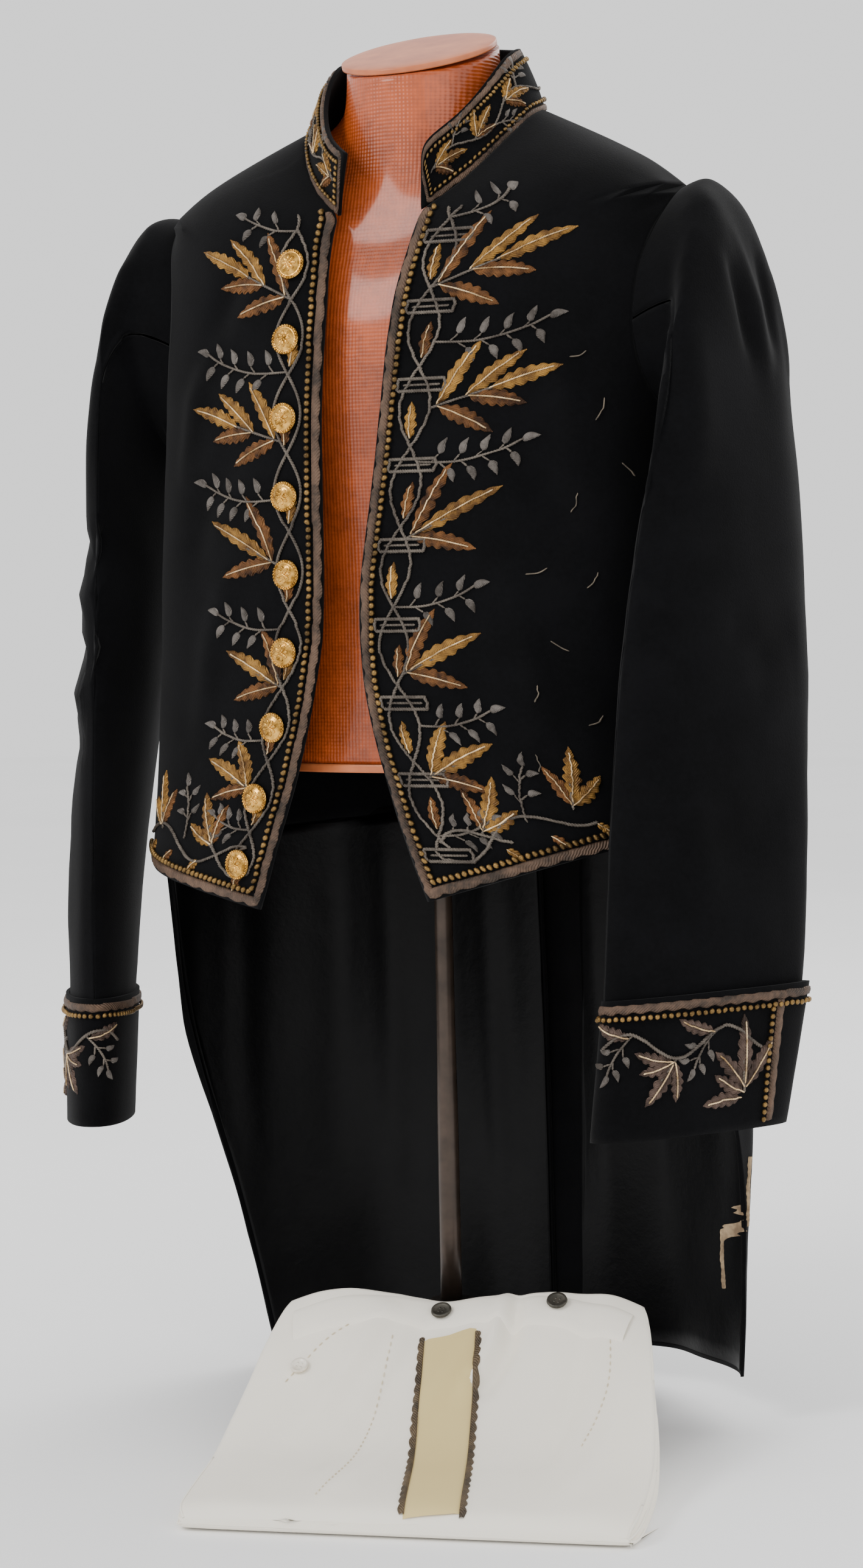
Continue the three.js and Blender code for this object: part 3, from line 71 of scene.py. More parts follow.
SHARP_FOLD = math.radians(55)  # a solid's edge that folds further than this stays sharp
WELD = 0.00002  # a solid's points nearer than this are one point, in metres
CHART_STEP = 3.0
CHART_RISE = 2.0
CHART_LEAD = 12.0  # a front's chart starts this far before its edge
BAND_LEVELS = 12  # divisions of a band's chart across the band
BAND = math.pi / 10  # a wave texture's bands are this far apart at scale 1

Flat = tuple[float, float]
Point = tuple[float, float, float]
Shape = Callable[[float, float], tuple[Point, Flat]]

log = logging.getLogger("court_dress")


# ---------------------------------------------------------------- finishes
class Pattern(Enum):
    """How a surface was made, which gives its small relief."""

    BROADCLOTH = "milled wool"
    SATIN = "smooth silk"
    THREAD = "laid metal thread"
    TWIST = "twisted cord"
    CRUMPLED = "purl wire"
    STRUCK = "stamped gilt metal"
    GLAZED = "glazed canvas"
    ENAMEL = "sprayed enamel"
    PLAIN = "plain"


def linear(code: str) -> tuple[float, float, float, float]:
    """Turns an sRGB hex colour into linear RGBA."""
    channels = [int(code[i : i + 2], 16) / 255 for i in (1, 3, 5)]
    made = [c / 12.92 if c <= 0.04045 else ((c + 0.055) / 1.055) ** 2.4 for c in channels]
    return (made[0], made[1], made[2], 1.0)


def add_node(tree: bpy.types.NodeTree, kind: str, settings: dict, links: dict) -> bpy.types.Node:
    """Adds a shader node.

    Args:
        tree: The material's node tree.
        kind: The node's type name.
        settings: Attributes of the node, or values of its inputs by name.
        links: Output sockets to join to its inputs, by input name or index.

    Returns:
        The new node.
    """
    node = tree.nodes.new(kind)
    for name, value in settings.items():
        if name in node.inputs:
            node.inputs[name].default_value = value
        else:
            setattr(node, name, value)
    for name, socket in links.items():
        tree.links.new(socket, node.inputs[name])
    return node


@dataclass(frozen=True)
class Finish:
    """A finish of one real material.

    Attributes:
        name: The material's common name.
        slot: The record's slot that it dresses.
        colour: Main sRGB colour.
        shade: Second sRGB colour, mixed in by slow noise.
        roughness: Shader roughness.
        metallic: Shader metallic.
        sheen: Sheen weight of a napped cloth.
        coat: Clear coat weight.
        pattern: How the surface was made.
        spacing: Spacing of the pattern in millimetres.
        relief: Depth of the pattern in millimetres.
        patch: Size of the slow colour change in millimetres.
        specular: Specular level, low where fibres swallow the light.
    """

    name: str
    slot: str
    colour: str
    shade: str
    roughness: float
    metallic: float = 0.0
    sheen: float = 0.0
    coat: float = 0.0
    pattern: Pattern = Pattern.PLAIN
    spacing: float = 1.0
    relief: float = 0.1
    patch: float = 40.0
    specular: float = 0.5

    def material(self) -> bpy.types.Material:
        """Returns the material, made once."""
        made = bpy.data.materials.get(self.name)
        if made:
            return made
        made = bpy.data.materials.new(self.name)
        made.use_nodes = True
        tree = made.node_tree
        shader = tree.nodes["Principled BSDF"]
        shader.inputs["Roughness"].default_value = self.roughness
        shader.inputs["Metallic"].default_value = self.metallic
        shader.inputs["Specular IOR Level"].default_value = self.specular
        shader.inputs["Sheen Weight"].default_value = self.sheen
        shader.inputs["Sheen Roughness"].default_value = 0.45
        shader.inputs["Coat Weight"].default_value = self.coat
        shader.inputs["Coat Roughness"].default_value = 0.12
        place = add_node(tree, "ShaderNodeTexCoord", {}, {})
        self._colour(tree, shader, place)
        self._relief(tree, shader, place)
        return made

    def _colour(self, tree: bpy.types.NodeTree, shader: bpy.types.Node, place: bpy.types.Node) -> None:
        """Mottles the colour slowly, as wear, dust and tarnish do.

        Args:
            tree: The material's node tree.
            shader: Its shader.
            place: Its texture coordinates.
        """
        space = {"Vector": place.outputs["Object"]}
        slow_scale = {"Scale": 1 / (self.patch * MM), "Detail": 4.0, "Roughness": 0.6}
        fine_scale = {"Scale": 1 / (max(self.spacing, 0.6) * 2.2 * MM), "Detail": 2.0}
        slow = add_node(tree, "ShaderNodeTexNoise", slow_scale, space)
        fine = add_node(tree, "ShaderNodeTexNoise", fine_scale, space)
        parts = {0: fine.outputs["Fac"], 2: slow.outputs["Fac"]}
        both = add_node(tree, "ShaderNodeMath", {"operation": "MULTIPLY_ADD"}, parts)
        both.inputs[1].default_value = 0.35
        ramp = add_node(tree, "ShaderNodeValToRGB", {}, {"Fac": both.outputs[0]})
        for stop, position, code in zip(ramp.color_ramp.elements, (0.52, 0.82), (self.shade, self.colour)):
            stop.position = position
            stop.color = linear(code)
        tree.links.new(ramp.outputs["Color"], shader.inputs["Base Color"])

    def _relief(self, tree: bpy.types.NodeTree, shader: bpy.types.Node, place: bpy.types.Node) -> None:
        """Adds the small relief of the surface's making.

        Args:
            tree: The material's node tree.
            shader: Its shader.
            place: Its texture coordinates.
        """
        if self.pattern is Pattern.PLAIN:
            return
        height = self._height(tree, place, 1 / (self.spacing * MM))
        depth = {"Distance": self.relief * MM, "Strength": 1.0}
        bump = add_node(tree, "ShaderNodeBump", depth, {"Height": height})
        tree.links.new(bump.outputs["Normal"], shader.inputs["Normal"])

    def _height(self, tree: bpy.types.NodeTree, place: bpy.types.Node, scale: float) -> bpy.types.NodeSocket:
        """Returns the socket that carries the pattern's height.

        Args:
            tree: The material's node tree.
            place: Its texture coordinates.
            scale: The pattern's repeats a metre.

        Returns:
            The socket.
        """
        space = {"Vector": place.outputs["Object"]}
        if self.pattern in (Pattern.THREAD, Pattern.TWIST):
            # Thread runs across the piece's own UV map, which is in metres.
            lean = {"Rotation": (0.0, 0.0, math.radians(35 if self.pattern is Pattern.THREAD else 50))}
            turned_map = add_node(tree, "ShaderNodeMapping", lean, {"Vector": place.outputs["UV"]})
            rows = {"Scale": scale * BAND, "Distortion": 0.4, "Detail": 0.0}
            wave = add_node(tree, "ShaderNodeTexWave", rows, {"Vector": turned_map.outputs["Vector"]})
            return wave.outputs["Fac"]
        if self.pattern is Pattern.GLAZED:
            weave = {"Scale": scale * BAND, "Distortion": 1.2}
            parts = {}
            for k, way in enumerate("ZX"):
                thread = add_node(tree, "ShaderNodeTexWave", {**weave, "bands_direction": way}, space)
                parts[k] = thread.outputs["Fac"]
            return add_node(tree, "ShaderNodeMath", {"operation": "ADD"}, parts).outputs[0]
        detail = {Pattern.BROADCLOTH: 6.0, Pattern.SATIN: 3.0, Pattern.CRUMPLED: 3.0}
        grain_scale = {"Scale": scale, "Detail": detail.get(self.pattern, 2.0), "Roughness": 0.65}
        return add_node(tree, "ShaderNodeTexNoise", grain_scale, space).outputs["Fac"]


# Milled black broadcloth: matt, with a faint nap that pales its folds.
WOOL = Finish("black_broadcloth", "wool", "#08080a", "#030304", 0.95, sheen=0.045,
              pattern=Pattern.BROADCLOTH, spacing=1.3, relief=0.25, patch=70, specular=0.1)
# Silk satin lining: darker than the cloth, with soft lights.
SATIN = Finish("black_satin", "satin", "#070708", "#020203", 0.5,
               pattern=Pattern.SATIN, spacing=9, relief=0.5, patch=50, specular=0.16)
# Torn edge of a linen interlining.
LINEN = Finish("unbleached_linen", "satin", "#a08a6c", "#6d5a45", 0.9,
               pattern=Pattern.BROADCLOTH, spacing=1.5, relief=0.3, patch=12)
# Padded oak leaves in tarnished gold thread.
OAK = Finish("oak_gold_thread", "oak_gold", "#8a5c34", "#3d2718", 0.55, metallic=0.35,
             pattern=Pattern.THREAD, spacing=1.7, relief=0.9, patch=16, specular=0.3)
# Leaves that kept more of their gilding.
OAK_BRIGHT = Finish("bright_gold_thread", "oak_gold", "#b98a45", "#6a4a28", 0.48, metallic=0.4,
                    pattern=Pattern.THREAD, spacing=1.7, relief=0.9, patch=16, specular=0.3)
# Leaves of the cuffs, whose gilding has worn to grey brown.
OAK_WORN = Finish("worn_gold_thread", "oak_gold", "#6d5a50", "#3b2f29", 0.55, metallic=0.35,
                  pattern=Pattern.THREAD, spacing=1.7, relief=0.9, patch=14, specular=0.3)
# Twisted silver-gilt cord gone grey.
CORD = Finish("tarnished_cord", "oak_gold", "#6d645a", "#433b34", 0.6, metallic=0.3,
              pattern=Pattern.TWIST, spacing=1.4, relief=0.3, patch=30)
# Laurel buds in grey tarnished thread.
LAUREL = Finish("laurel_thread", "oak_gold", "#77706a", "#463f39", 0.58, metallic=0.3,
                pattern=Pattern.THREAD, spacing=1.3, relief=0.45, patch=24)
# Purl wire that lights the leaves' mid ribs.
PURL = Finish("bright_purl", "oak_gold", "#e3c79b", "#8a6c46", 0.4, metallic=0.6,
              pattern=Pattern.CRUMPLED, spacing=1.2, relief=0.3, patch=20)
# Flat braid of grey-brown gold thread.
BRAID = Finish("scalloped_braid", "braid", "#6c5443", "#33281f", 0.62, metallic=0.25,
               pattern=Pattern.TWIST, spacing=1.5, relief=0.6, patch=30)
# Metal beads, dull gold.
BEADS = Finish("dull_gold_beads", "beads", "#8f7040", "#4a3920", 0.38, metallic=0.8,
               pattern=Pattern.STRUCK, spacing=1.2, relief=0.05, patch=25)
# Struck gilt buttons, bright on the high places.
GILT = Finish("gilt_brass", "gilt", "#e8b45c", "#8e6428", 0.22, metallic=1.0,
              pattern=Pattern.STRUCK, spacing=1.6, relief=0.2, patch=6)
# Glazed canvas cover of the form: orange, glossy, with its weave showing through.
CANVAS = Finish("glazed_canvas", "form_cloth", "#b8501a", "#8f3c10", 0.4, coat=0.35,
                pattern=Pattern.GLAZED, spacing=2.6, relief=0.22, patch=60)
# Paper-covered neck cap, a paler orange.
CAP = Finish("glazed_paper", "form_cap", "#cc7444", "#b45e32", 0.45, coat=0.2,
             pattern=Pattern.ENAMEL, spacing=6, relief=0.05, patch=40)
# Brown enamelled steel tube.
POLE = Finish("brown_enamel", "pole_metal", "#4a3d34", "#2f2721", 0.35, metallic=0.5,
              pattern=Pattern.ENAMEL, spacing=5, relief=0.03, patch=60)
# Cast iron base in the same enamel.
IRON = Finish("enamelled_iron", "base_metal", "#2f2a26", "#211d1a", 0.45, metallic=0.3,
              pattern=Pattern.ENAMEL, spacing=3, relief=0.12, patch=60)
# Cream wool cloth with a soft nap.
CREAM = Finish("cream_wool", "cream_wool", "#d8b272", "#c59d5a", 0.94, sheen=0.03,
               pattern=Pattern.BROADCLOTH, spacing=1.2, relief=0.22, patch=60)
# Woven gold lace.
LACE = Finish("gold_lace", "gold_lace", "#74510f", "#2e1f08", 0.5, metallic=0.35,
              pattern=Pattern.CRUMPLED, spacing=4.5, relief=0.8, patch=5)
# Dark picot edge of the lace.
PICOT = Finish("picot_edge", "gold_lace", "#6b5a44", "#443a2e", 0.6, metallic=0.3,
               pattern=Pattern.TWIST, spacing=1.4, relief=0.4, patch=20)
# Dark pewter trouser buttons.
PEWTER = Finish("dark_pewter", "pewter", "#5b5850", "#37352f", 0.45, metallic=0.6,
                pattern=Pattern.STRUCK, spacing=2, relief=0.08, patch=10)
# Mother of pearl.
PEARL = Finish("mother_of_pearl", "pearl", "#f6f0e2", "#ddd3c0", 0.25, coat=0.4,
               pattern=Pattern.ENAMEL, spacing=3, relief=0.03, patch=8)
# Loose cotton thread.
THREAD = Finish("cotton_thread", "wool", "#75695a", "#3d372f", 0.9, patch=10)
# Cream basting thread.
BASTING = Finish("basting_thread", "cream_wool", "#e8dcc0", "#cdbf9f", 0.9, patch=10)
# Painted studio floor.
FLOOR = Finish("pale_floor", "wool", "#ffffff", "#fbfbfb", 0.9, patch=900)


# ---------------------------------------------------------------- small mesh helpers
def linked(name: str, data: bpy.types.ID) -> bpy.types.Object:
    """Makes an object and links it to the scene."""
    made = bpy.data.objects.new(name, data)
    bpy.context.scene.collection.objects.link(made)
    return made


def object_from(bm: bmesh.types.BMesh, name: str, finish: Finish, smooth: bool = True) -> bpy.types.Object:
    """Makes an object of a bmesh, with its finish.

    Args:
        bm: The mesh, in metres. It is freed.
        name: The new object's name.
        finish: Its finish.
        smooth: Whether faces are shaded smooth.

    Returns:
        The new object, linked to the scene.
    """
    mesh = bpy.data.meshes.new(name)
    for face in bm.faces:
        face.smooth = smooth
    bm.to_mesh(mesh)
    bm.free()
    mesh.materials.append(finish.material())
    return linked(name, mesh)


def dressed(mesh: bpy.types.Mesh, name: str, finish: Finish) -> bpy.types.Object:
    """Makes an object of a mesh, shaded smooth and in one finish.

    Args:
        mesh: Its mesh.
        name: Its name.
        finish: Its finish.

    Returns:
        The piece.
    """
    mesh.materials.clear()
    mesh.materials.append(finish.material())
    mesh.shade_smooth()
    return linked(name, mesh)


def add_piece(obj: bpy.types.Object, slot: str, *nodes: str) -> bpy.types.Object:
    """Lets a piece ride on the root body, in place of nodes, and logs it.

    Args:
        obj: The piece.
        slot: The name of the record's slot for the piece; it is not used.
        nodes: The solids that it replaces.

    Returns:
        The piece.
    """
    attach(obj, "root")
    if nodes:
        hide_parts(*nodes)
    log.info("%s: %d faces", obj.name, len(obj.data.polygons))
    return obj


def smoothed(node: str, levels: int) -> bpy.types.Mesh:
    """Returns a finely divided, smooth copy of a solid's mesh, with its rims kept sharp.

    Args:
        node: The solid's name.
        levels: How many times it is divided.

    Returns:
        The new mesh.
    """
    bm = bmesh.new()
    bm.from_mesh(bpy.data.objects[node].data)
    bmesh.ops.remove_doubles(bm, verts=bm.verts, dist=WELD)
    crease = bm.edges.layers.float.get("crease_edge") or bm.edges.layers.float.new("crease_edge")
    for edge in bm.edges:
        if len(edge.link_faces) == 2 and edge.calc_face_angle(0.0) > SHARP_FOLD:
            edge[crease] = 1.0
    bmesh.ops.join_triangles(
        bm,
        faces=bm.faces,
        angle_face_threshold=math.radians(40),
        angle_shape_threshold=math.radians(180),
    )
    mesh = bpy.data.meshes.new(node + "_coarse")
    bm.to_mesh(mesh)
    bm.free()
    holder = linked(node + "_coarse", mesh)
    divide = holder.modifiers.new("divide", "SUBSURF")
    divide.levels = divide.render_levels = levels
    made = bpy.data.meshes.new_from_object(holder.evaluated_get(bpy.context.evaluated_depsgraph_get()))
    bpy.data.objects.remove(holder)
    return made


def turned(bm: bmesh.types.BMesh, profile: list[Flat], facets: int) -> None:
    """Turns a profile of (radius, height) round the Z axis and closes its ends.

    Args:
        bm: The mesh that it is added to.
        profile: The profile from its foot to its top.
        facets: Facets round it.
    """
    verts = [bm.verts.new((r, 0, z)) for r, z in profile]
    edges = [bm.edges.new(pair) for pair in zip(verts, verts[1:])]
    bmesh.ops.spin(bm, geom=[*verts, *edges], cent=(0, 0, 0), axis=(0, 0, 1), angle=math.tau, steps=facets,
                   use_merge=True)
    bmesh.ops.remove_doubles(bm, verts=bm.verts, dist=0.0001)
    open_edges = [e for e in bm.edges if e.is_boundary]
    bmesh.ops.holes_fill(bm, edges=open_edges, sides=facets + 2)
    bmesh.ops.recalc_face_normals(bm, faces=bm.faces)


def seat(bm: bmesh.types.BMesh, foot: np.ndarray, over: np.ndarray) -> None:
    """Stands a part, modelled in millimetres round Z, on its foot, towards a point over it.

    Args:
        bm: The part's mesh.
        foot: Where it stands, in millimetres.
        over: A point over its foot.
    """
    turn = Vector((0, 0, 1)).rotation_difference(Vector(over - foot).normalized()).to_matrix()
    bmesh.ops.scale(bm, verts=bm.verts, vec=(MM, MM, MM))
    bmesh.ops.rotate(bm, verts=bm.verts, cent=(0, 0, 0), matrix=turn)
    bmesh.ops.translate(bm, verts=bm.verts, vec=Vector(foot) * MM)


def points_of(mesh: bpy.types.Mesh) -> np.ndarray:
    """Returns a mesh's points as an array, in millimetres."""
    flat = np.empty(len(mesh.vertices) * 3, np.float64)
    mesh.vertices.foreach_get("co", flat)
    return flat.reshape(-1, 3) / MM


def normals_of(mesh: bpy.types.Mesh) -> np.ndarray:
    """Returns a mesh's point normals as an array."""
    flat = np.empty(len(mesh.vertices) * 3, np.float64)
    mesh.vertex_normals.foreach_get("vector", flat)
    return flat.reshape(-1, 3)


def set_points(mesh: bpy.types.Mesh, points: np.ndarray) -> None:
    """Writes points, in millimetres, back to a mesh."""
    mesh.vertices.foreach_set("co", (points * MM).ravel())
    mesh.update()


def tree_of(mesh: bpy.types.Mesh) -> BVHTree:
    """Returns a search tree of a mesh's faces, in metres."""
    return BVHTree.FromPolygons([v.co for v in mesh.vertices], [p.vertices for p in mesh.polygons])


# ---------------------------------------------------------------- folds
SLEEVE_X = 195.0  # a cloth whose middle lies further out than this is a sleeve's
# Middle line of each sleeve: height, across, depth.
SLEEVE_LINES = {
    1: (
        (280, 231, -103), (450, 233, -83), (530, 229, -60), (610, 233, -42), (690, 226, -35),
        (760, 213, -16), (830, 200, -6),
    ),
    -1: (
        (255, -264, -34), (450, -262, -18), (530, -248, -5), (610, -233, -7), (690, -221, -11),
        (760, -207, -9), (830, -195, -4),
    ),
}


class View(Enum):
    """The side from which a crease's two ends are given."""

    FRONT = (0, 2, 1, -1)
    BACK = (0, 2, 1, 1)
    LEFT = (1, 2, 0, 1)
    RIGHT = (1, 2, 0, -1)
    ABOVE = (0, 1, 2, 1)


@dataclass(frozen=True)
class Crease:
    """A trough or ridge of cloth.

    Attributes:
        view: The side it is seen from.
        start: One end in that view, in millimetres.
        bend: A point it bends through.
        end: The other end.
        width: Half width in millimetres.
        depth: Height of the ridge, or minus the depth of the trough.
    """

    view: View
    start: Flat
    bend: Flat
    end: Flat
    width: float
    depth: float

    def lift(self, points: np.ndarray, outward: np.ndarray) -> np.ndarray:
        """Returns how far each point moves out.

        Args:
            points: Points in millimetres.
            outward: The outward direction at each point.

        Returns:
            A height for each point.
        """
        across, up, depth_axis, sign = self.view.value
        flat = points[:, [across, up]]
        best = np.full(len(points), 1e9)
        along = np.zeros(len(points))
        total = math.dist(self.start, self.bend) + math.dist(self.bend, self.end)
        done = 0.0
        for a, b in ((self.start, self.bend), (self.bend, self.end)):
            line = np.subtract(b, a)
            length = max(float(np.hypot(*line)), 1e-6)
            t = np.clip(((flat - a) @ line) / length**2, 0, 1)
            gap = np.hypot(*(flat - (np.array(a) + t[:, None] * line)).T)
            nearer = gap < best
            best = np.where(nearer, gap, best)
            along = np.where(nearer, (done + t * length) / total, along)
            done += length
        fade = np.sin(np.pi * np.clip(along, 0.02, 0.98)) ** 0.6
        facing = np.clip(outward[:, depth_axis] * sign * 2.2, 0, 1)
        return 1.35 * self.depth * np.exp(-((best / self.width) ** 2)) * fade * facing


def creases(**tables: tuple[tuple[float, ...], ...]) -> tuple[Crease, ...]:
    """Makes creases from tables that are named after their views.

    Args:
        tables: Rows of a start, a bend and an end, of two numbers each, then half width and height.

    Returns:
        The creases.
    """
    return tuple(
        Crease(View[view], row[0:2], row[2:4], row[4:6], row[6], row[7])
        for view, rows in tables.items()
        for row in rows
    )


def unevenness(points: np.ndarray, size: float, height: float) -> np.ndarray:
    """Returns slow uneven swells of cloth, the same for every piece at one place."""
    return np.array([noise.noise(Vector(p / size)) for p in points]) * height


def drape(mesh: bpy.types.Mesh, creases: tuple[Crease, ...], swell: float) -> None:
    """Moves a closed cloth shell along its outward side, so that its wall keeps its thickness.

    Args:
        mesh: The shell.
        creases: Its troughs and ridges.
        swell: Height of the slow unevenness in millimetres.
    """
    points = points_of(mesh)
    outward = normals_of(mesh)
    ease = outward * SEAM_EASE
    middle = points.mean(axis=0)
    away = points.copy()
    if abs(middle[0]) > SLEEVE_X:
        away -= sleeve_axis(points[:, 2], math.copysign(1, middle[0]))
    away[:, 2] = 0
    flip = np.sign(np.einsum("ij,ij->i", outward, away) + 1e-9)
    outward = outward * flip[:, None]
    flat = np.abs(outward[:, 2]) > 0.75
    outward[flat] = away[flat] / np.maximum(np.linalg.norm(away[flat], axis=1), 1e-6)[:, None]
    lift = unevenness(points, 62.0, swell) + unevenness(points + 300.0, 24.0, swell * 0.3)
    for crease in creases:
        lift += crease.lift(points, outward)
    set_points(mesh, points + ease + outward * lift[:, None])


def sleeve_axis(heights: np.ndarray, side: float) -> np.ndarray:
    """Returns the middle line of a sleeve at some heights, in millimetres."""
    z, x, y = np.array(SLEEVE_LINES[int(side)], float).T
    return np.stack([np.interp(heights, z, x), np.interp(heights, z, y), heights], axis=1)


# ---------------------------------------------------------------- paths
def reached(foot: Flat, angle: float, x: float, y: float = 0.0) -> Flat:
    """Returns the point x ahead of a foot and y to its left, at an angle in radians."""
    cos, sin = math.cos(angle), math.sin(angle)
    return foot[0] + x * cos - y * sin, foot[1] + x * sin + y * cos


def travelled(path: np.ndarray) -> np.ndarray:
    """Returns how far along a path each of its points is."""
    return np.concatenate([[0.0], np.cumsum(np.linalg.norm(np.diff(path, axis=0), axis=1))])


def headings(path: np.ndarray) -> np.ndarray:
    """Returns a path's direction at each of its points."""
    ahead = np.gradient(path, axis=0)
    return ahead / np.maximum(np.linalg.norm(ahead, axis=1, keepdims=True), 1e-9)


def read_off(path: np.ndarray, gone: np.ndarray, wanted: np.ndarray) -> np.ndarray:
    """Returns a path's positions at wanted distances, given how far along each of its points is."""
    return np.stack([np.interp(wanted, gone, path[:, k]) for k in range(path.shape[1])], axis=1)


def evenly(path: np.ndarray, pitch: float) -> np.ndarray:
    """Returns a path's points again, evenly spaced.

    Args:
        path: The path.
        pitch: The spacing wanted.

    Returns:
        The new points.
    """
    path = np.asarray(path, float)
    gone = travelled(path)
    count = max(3, int(round(gone[-1] / pitch)) + 1)
    return read_off(path, gone, np.linspace(0, gone[-1], count))


def resampled(row: np.ndarray, wanted: np.ndarray) -> np.ndarray:
    """Returns positions at wanted distances along a row, carried straight on past its ends.

    Args:
        row: Positions along the row.
        wanted: The distances.

    Returns:
        The positions.
    """
    gone = travelled(row)
    ahead = (row[2] - row[0]) / max(gone[2], 1e-6)
    behind = (row[-1] - row[-3]) / max(gone[-1] - gone[-3], 1e-6)
    before = np.clip(-wanted, 0, None)[:, None]
    after = np.clip(wanted - gone[-1], 0, None)[:, None]
    return read_off(row, gone, wanted) - ahead * before + behind * after


def curved(points: list[Flat], pitch: float) -> np.ndarray:
    """Returns a smooth path through a few points, evenly spaced.

    Args:
        points: The points that it runs through.
        pitch: The spacing wanted.

    Returns:
        The path's points.
    """
    p = np.array([points[0], *points, points[-1]], float)
    made = []
    for k in range(1, len(p) - 2):
        for t in np.linspace(0, 1, 12, endpoint=False):
            made.append(
                0.5 * ((2 * p[k]) + (p[k + 1] - p[k - 1]) * t
                       + (2 * p[k - 1] - 5 * p[k] + 4 * p[k + 1] - p[k + 2]) * t**2
                       + (3 * p[k] - p[k - 1] - 3 * p[k + 1] + p[k + 2]) * t**3)
            )
    made.append(p[-1])
    return evenly(made, pitch)


def edge_width(base: float, depth: float = 0.0, pitch: float = SCALLOP_PITCH) -> Callable[[float], float]:
    """Returns how far a braid's edge is from its middle, as a rule of the distance along it.

    Args:
        base: The width between two scallops.
        depth: How much further each scallop reaches.
        pitch: The length of a scallop.

    Returns:
        The rule.
    """
    return lambda gone: base + depth * abs(math.sin(math.pi * gone / pitch))


# ---------------------------------------------------------------- charts of a cloth's outer face
@dataclass
class Chart:
    """Lays flat work, in millimetres, on a curved outer face.

    Attributes:
        places: Positions on the face, one row a level, in millimetres.
        facing: Outward directions at those positions.
        start: The flat coordinates of the first column and row.
        pitch: The flat distances between columns and between rows.
    """

    places: np.ndarray
    facing: np.ndarray
    start: Flat
    pitch: Flat

    @classmethod
    def from_rows(cls, rows: np.ndarray, start: Flat, pitch: Flat, outward: float) -> "Chart":
        """Makes a chart of a grid of positions.

        Args:
            rows: Positions, one row a level.
            start: Flat coordinates of the grid's first point.
            pitch: Flat distances between columns and rows.
            outward: Sign that turns the grid's own direction outward.

        Returns:
            The chart.
        """
        across = np.gradient(rows, axis=1)
        up = np.gradient(rows, axis=0)
        facing = np.cross(across, up) * outward
        facing /= np.maximum(np.linalg.norm(facing, axis=2, keepdims=True), 1e-9)
        return cls(rows, facing, start, pitch)

    def place(self, flat: np.ndarray) -> np.ndarray:
        """Returns where flat points (along, up, height) lie on the cloth, in millimetres.

        Args:
            flat: Flat points, one a row.

        Returns:
            Their places.
        """
        high, wide = self.places.shape[:2]
        u = np.clip((flat[:, 0] - self.start[0]) / self.pitch[0], 0, wide - 1.001)
        v = np.clip((flat[:, 1] - self.start[1]) / self.pitch[1], 0, high - 1.001)
        i, j = u.astype(int), v.astype(int)
        a, b = (u - i)[:, None], (v - j)[:, None]

        def between(grid: np.ndarray) -> np.ndarray:
            """Blends the four nearest grid values."""
            low = grid[j, i] * (1 - a) + grid[j, i + 1] * a
            high_row = grid[j + 1, i] * (1 - a) + grid[j + 1, i + 1] * a
            return low * (1 - b) + high_row * b

        return between(self.places) + between(self.facing) * flat[:, 2:3]


def ray_hits(mesh: bpy.types.Mesh, side: int, heights: np.ndarray, bearings: np.ndarray) -> np.ndarray:
    """Finds a front panel's outer face by rays towards the coat's middle line.

    Args:
        mesh: The front panel.
        side: 1 for the wearer's left.
        heights: Heights to look at, in millimetres.
        bearings: Bearings to look at, in radians from the front.

    Returns:
        A row of positions a height, in millimetres, with NaN where a ray finds nothing.
    """
    tree = tree_of(mesh)
    reach = 0.4
    hits = np.full((len(heights), len(bearings), 3), np.nan)
    for k, bearing in enumerate(bearings):
        out = Vector((side * math.sin(bearing), -math.cos(bearing), 0.0))
        for j, z in enumerate(heights):
            found = tree.ray_cast(out * reach + Vector((0, 0, z * MM)), -out, reach)[0]
            if found:
                hits[j, k] = np.array(found) / MM
    return hits


def front_edge(seen: np.ndarray, heights: np.ndarray) -> tuple[np.ndarray, int, int]:
    """Finds a front panel's edge.

    Args:
        seen: Where rays found the panel, a row a height.
        heights: The rows' heights in millimetres.

    Returns:
        Each row's column at the edge, the first row of the panel, and the row past its last.
    """
    columns = np.argmax(seen, axis=1)
    top = int(np.searchsorted(heights, 834.0))
    while top < len(heights) - 2 and seen[top].any() and abs(int(columns[top]) - int(columns[top - 1])) < 3:
        top += 1
    edge = np.full(len(heights), -1)
    for j in range(top):
        if seen[j].any():
            edge[j] = columns[j]
    first = int(np.argmax(edge >= 0))
    edge[:first] = edge[first]
    edge[top:] = edge[top - 1]
    return edge, first, top


def carried_on(hits: np.ndarray, seen: np.ndarray, first: int) -> np.ndarray:
    """Returns the positions with each gap filled straight on from the two rows beside it.

    Args:
        hits: Positions, a row a height, with NaN where there is none.
        seen: Where there is a position.
        first: The first row that has any.

    Returns:
        The whole grid of positions.
    """
    made = hits.copy()
    for j in range(first + 1, -1, -1):
        made[j] = np.where(seen[j][:, None], made[j], 2 * made[j + 1] - made[j + 2])
    below = [(j, 1) for j in range(len(made) - 3, -1, -1)]
    above = [(j, -1) for j in range(2, len(made))]
    for j, way in below + above:
        missing = np.isnan(made[j, :, 0])
        made[j, missing] = (2 * made[j + way] - made[j + 2 * way])[missing]
    return made


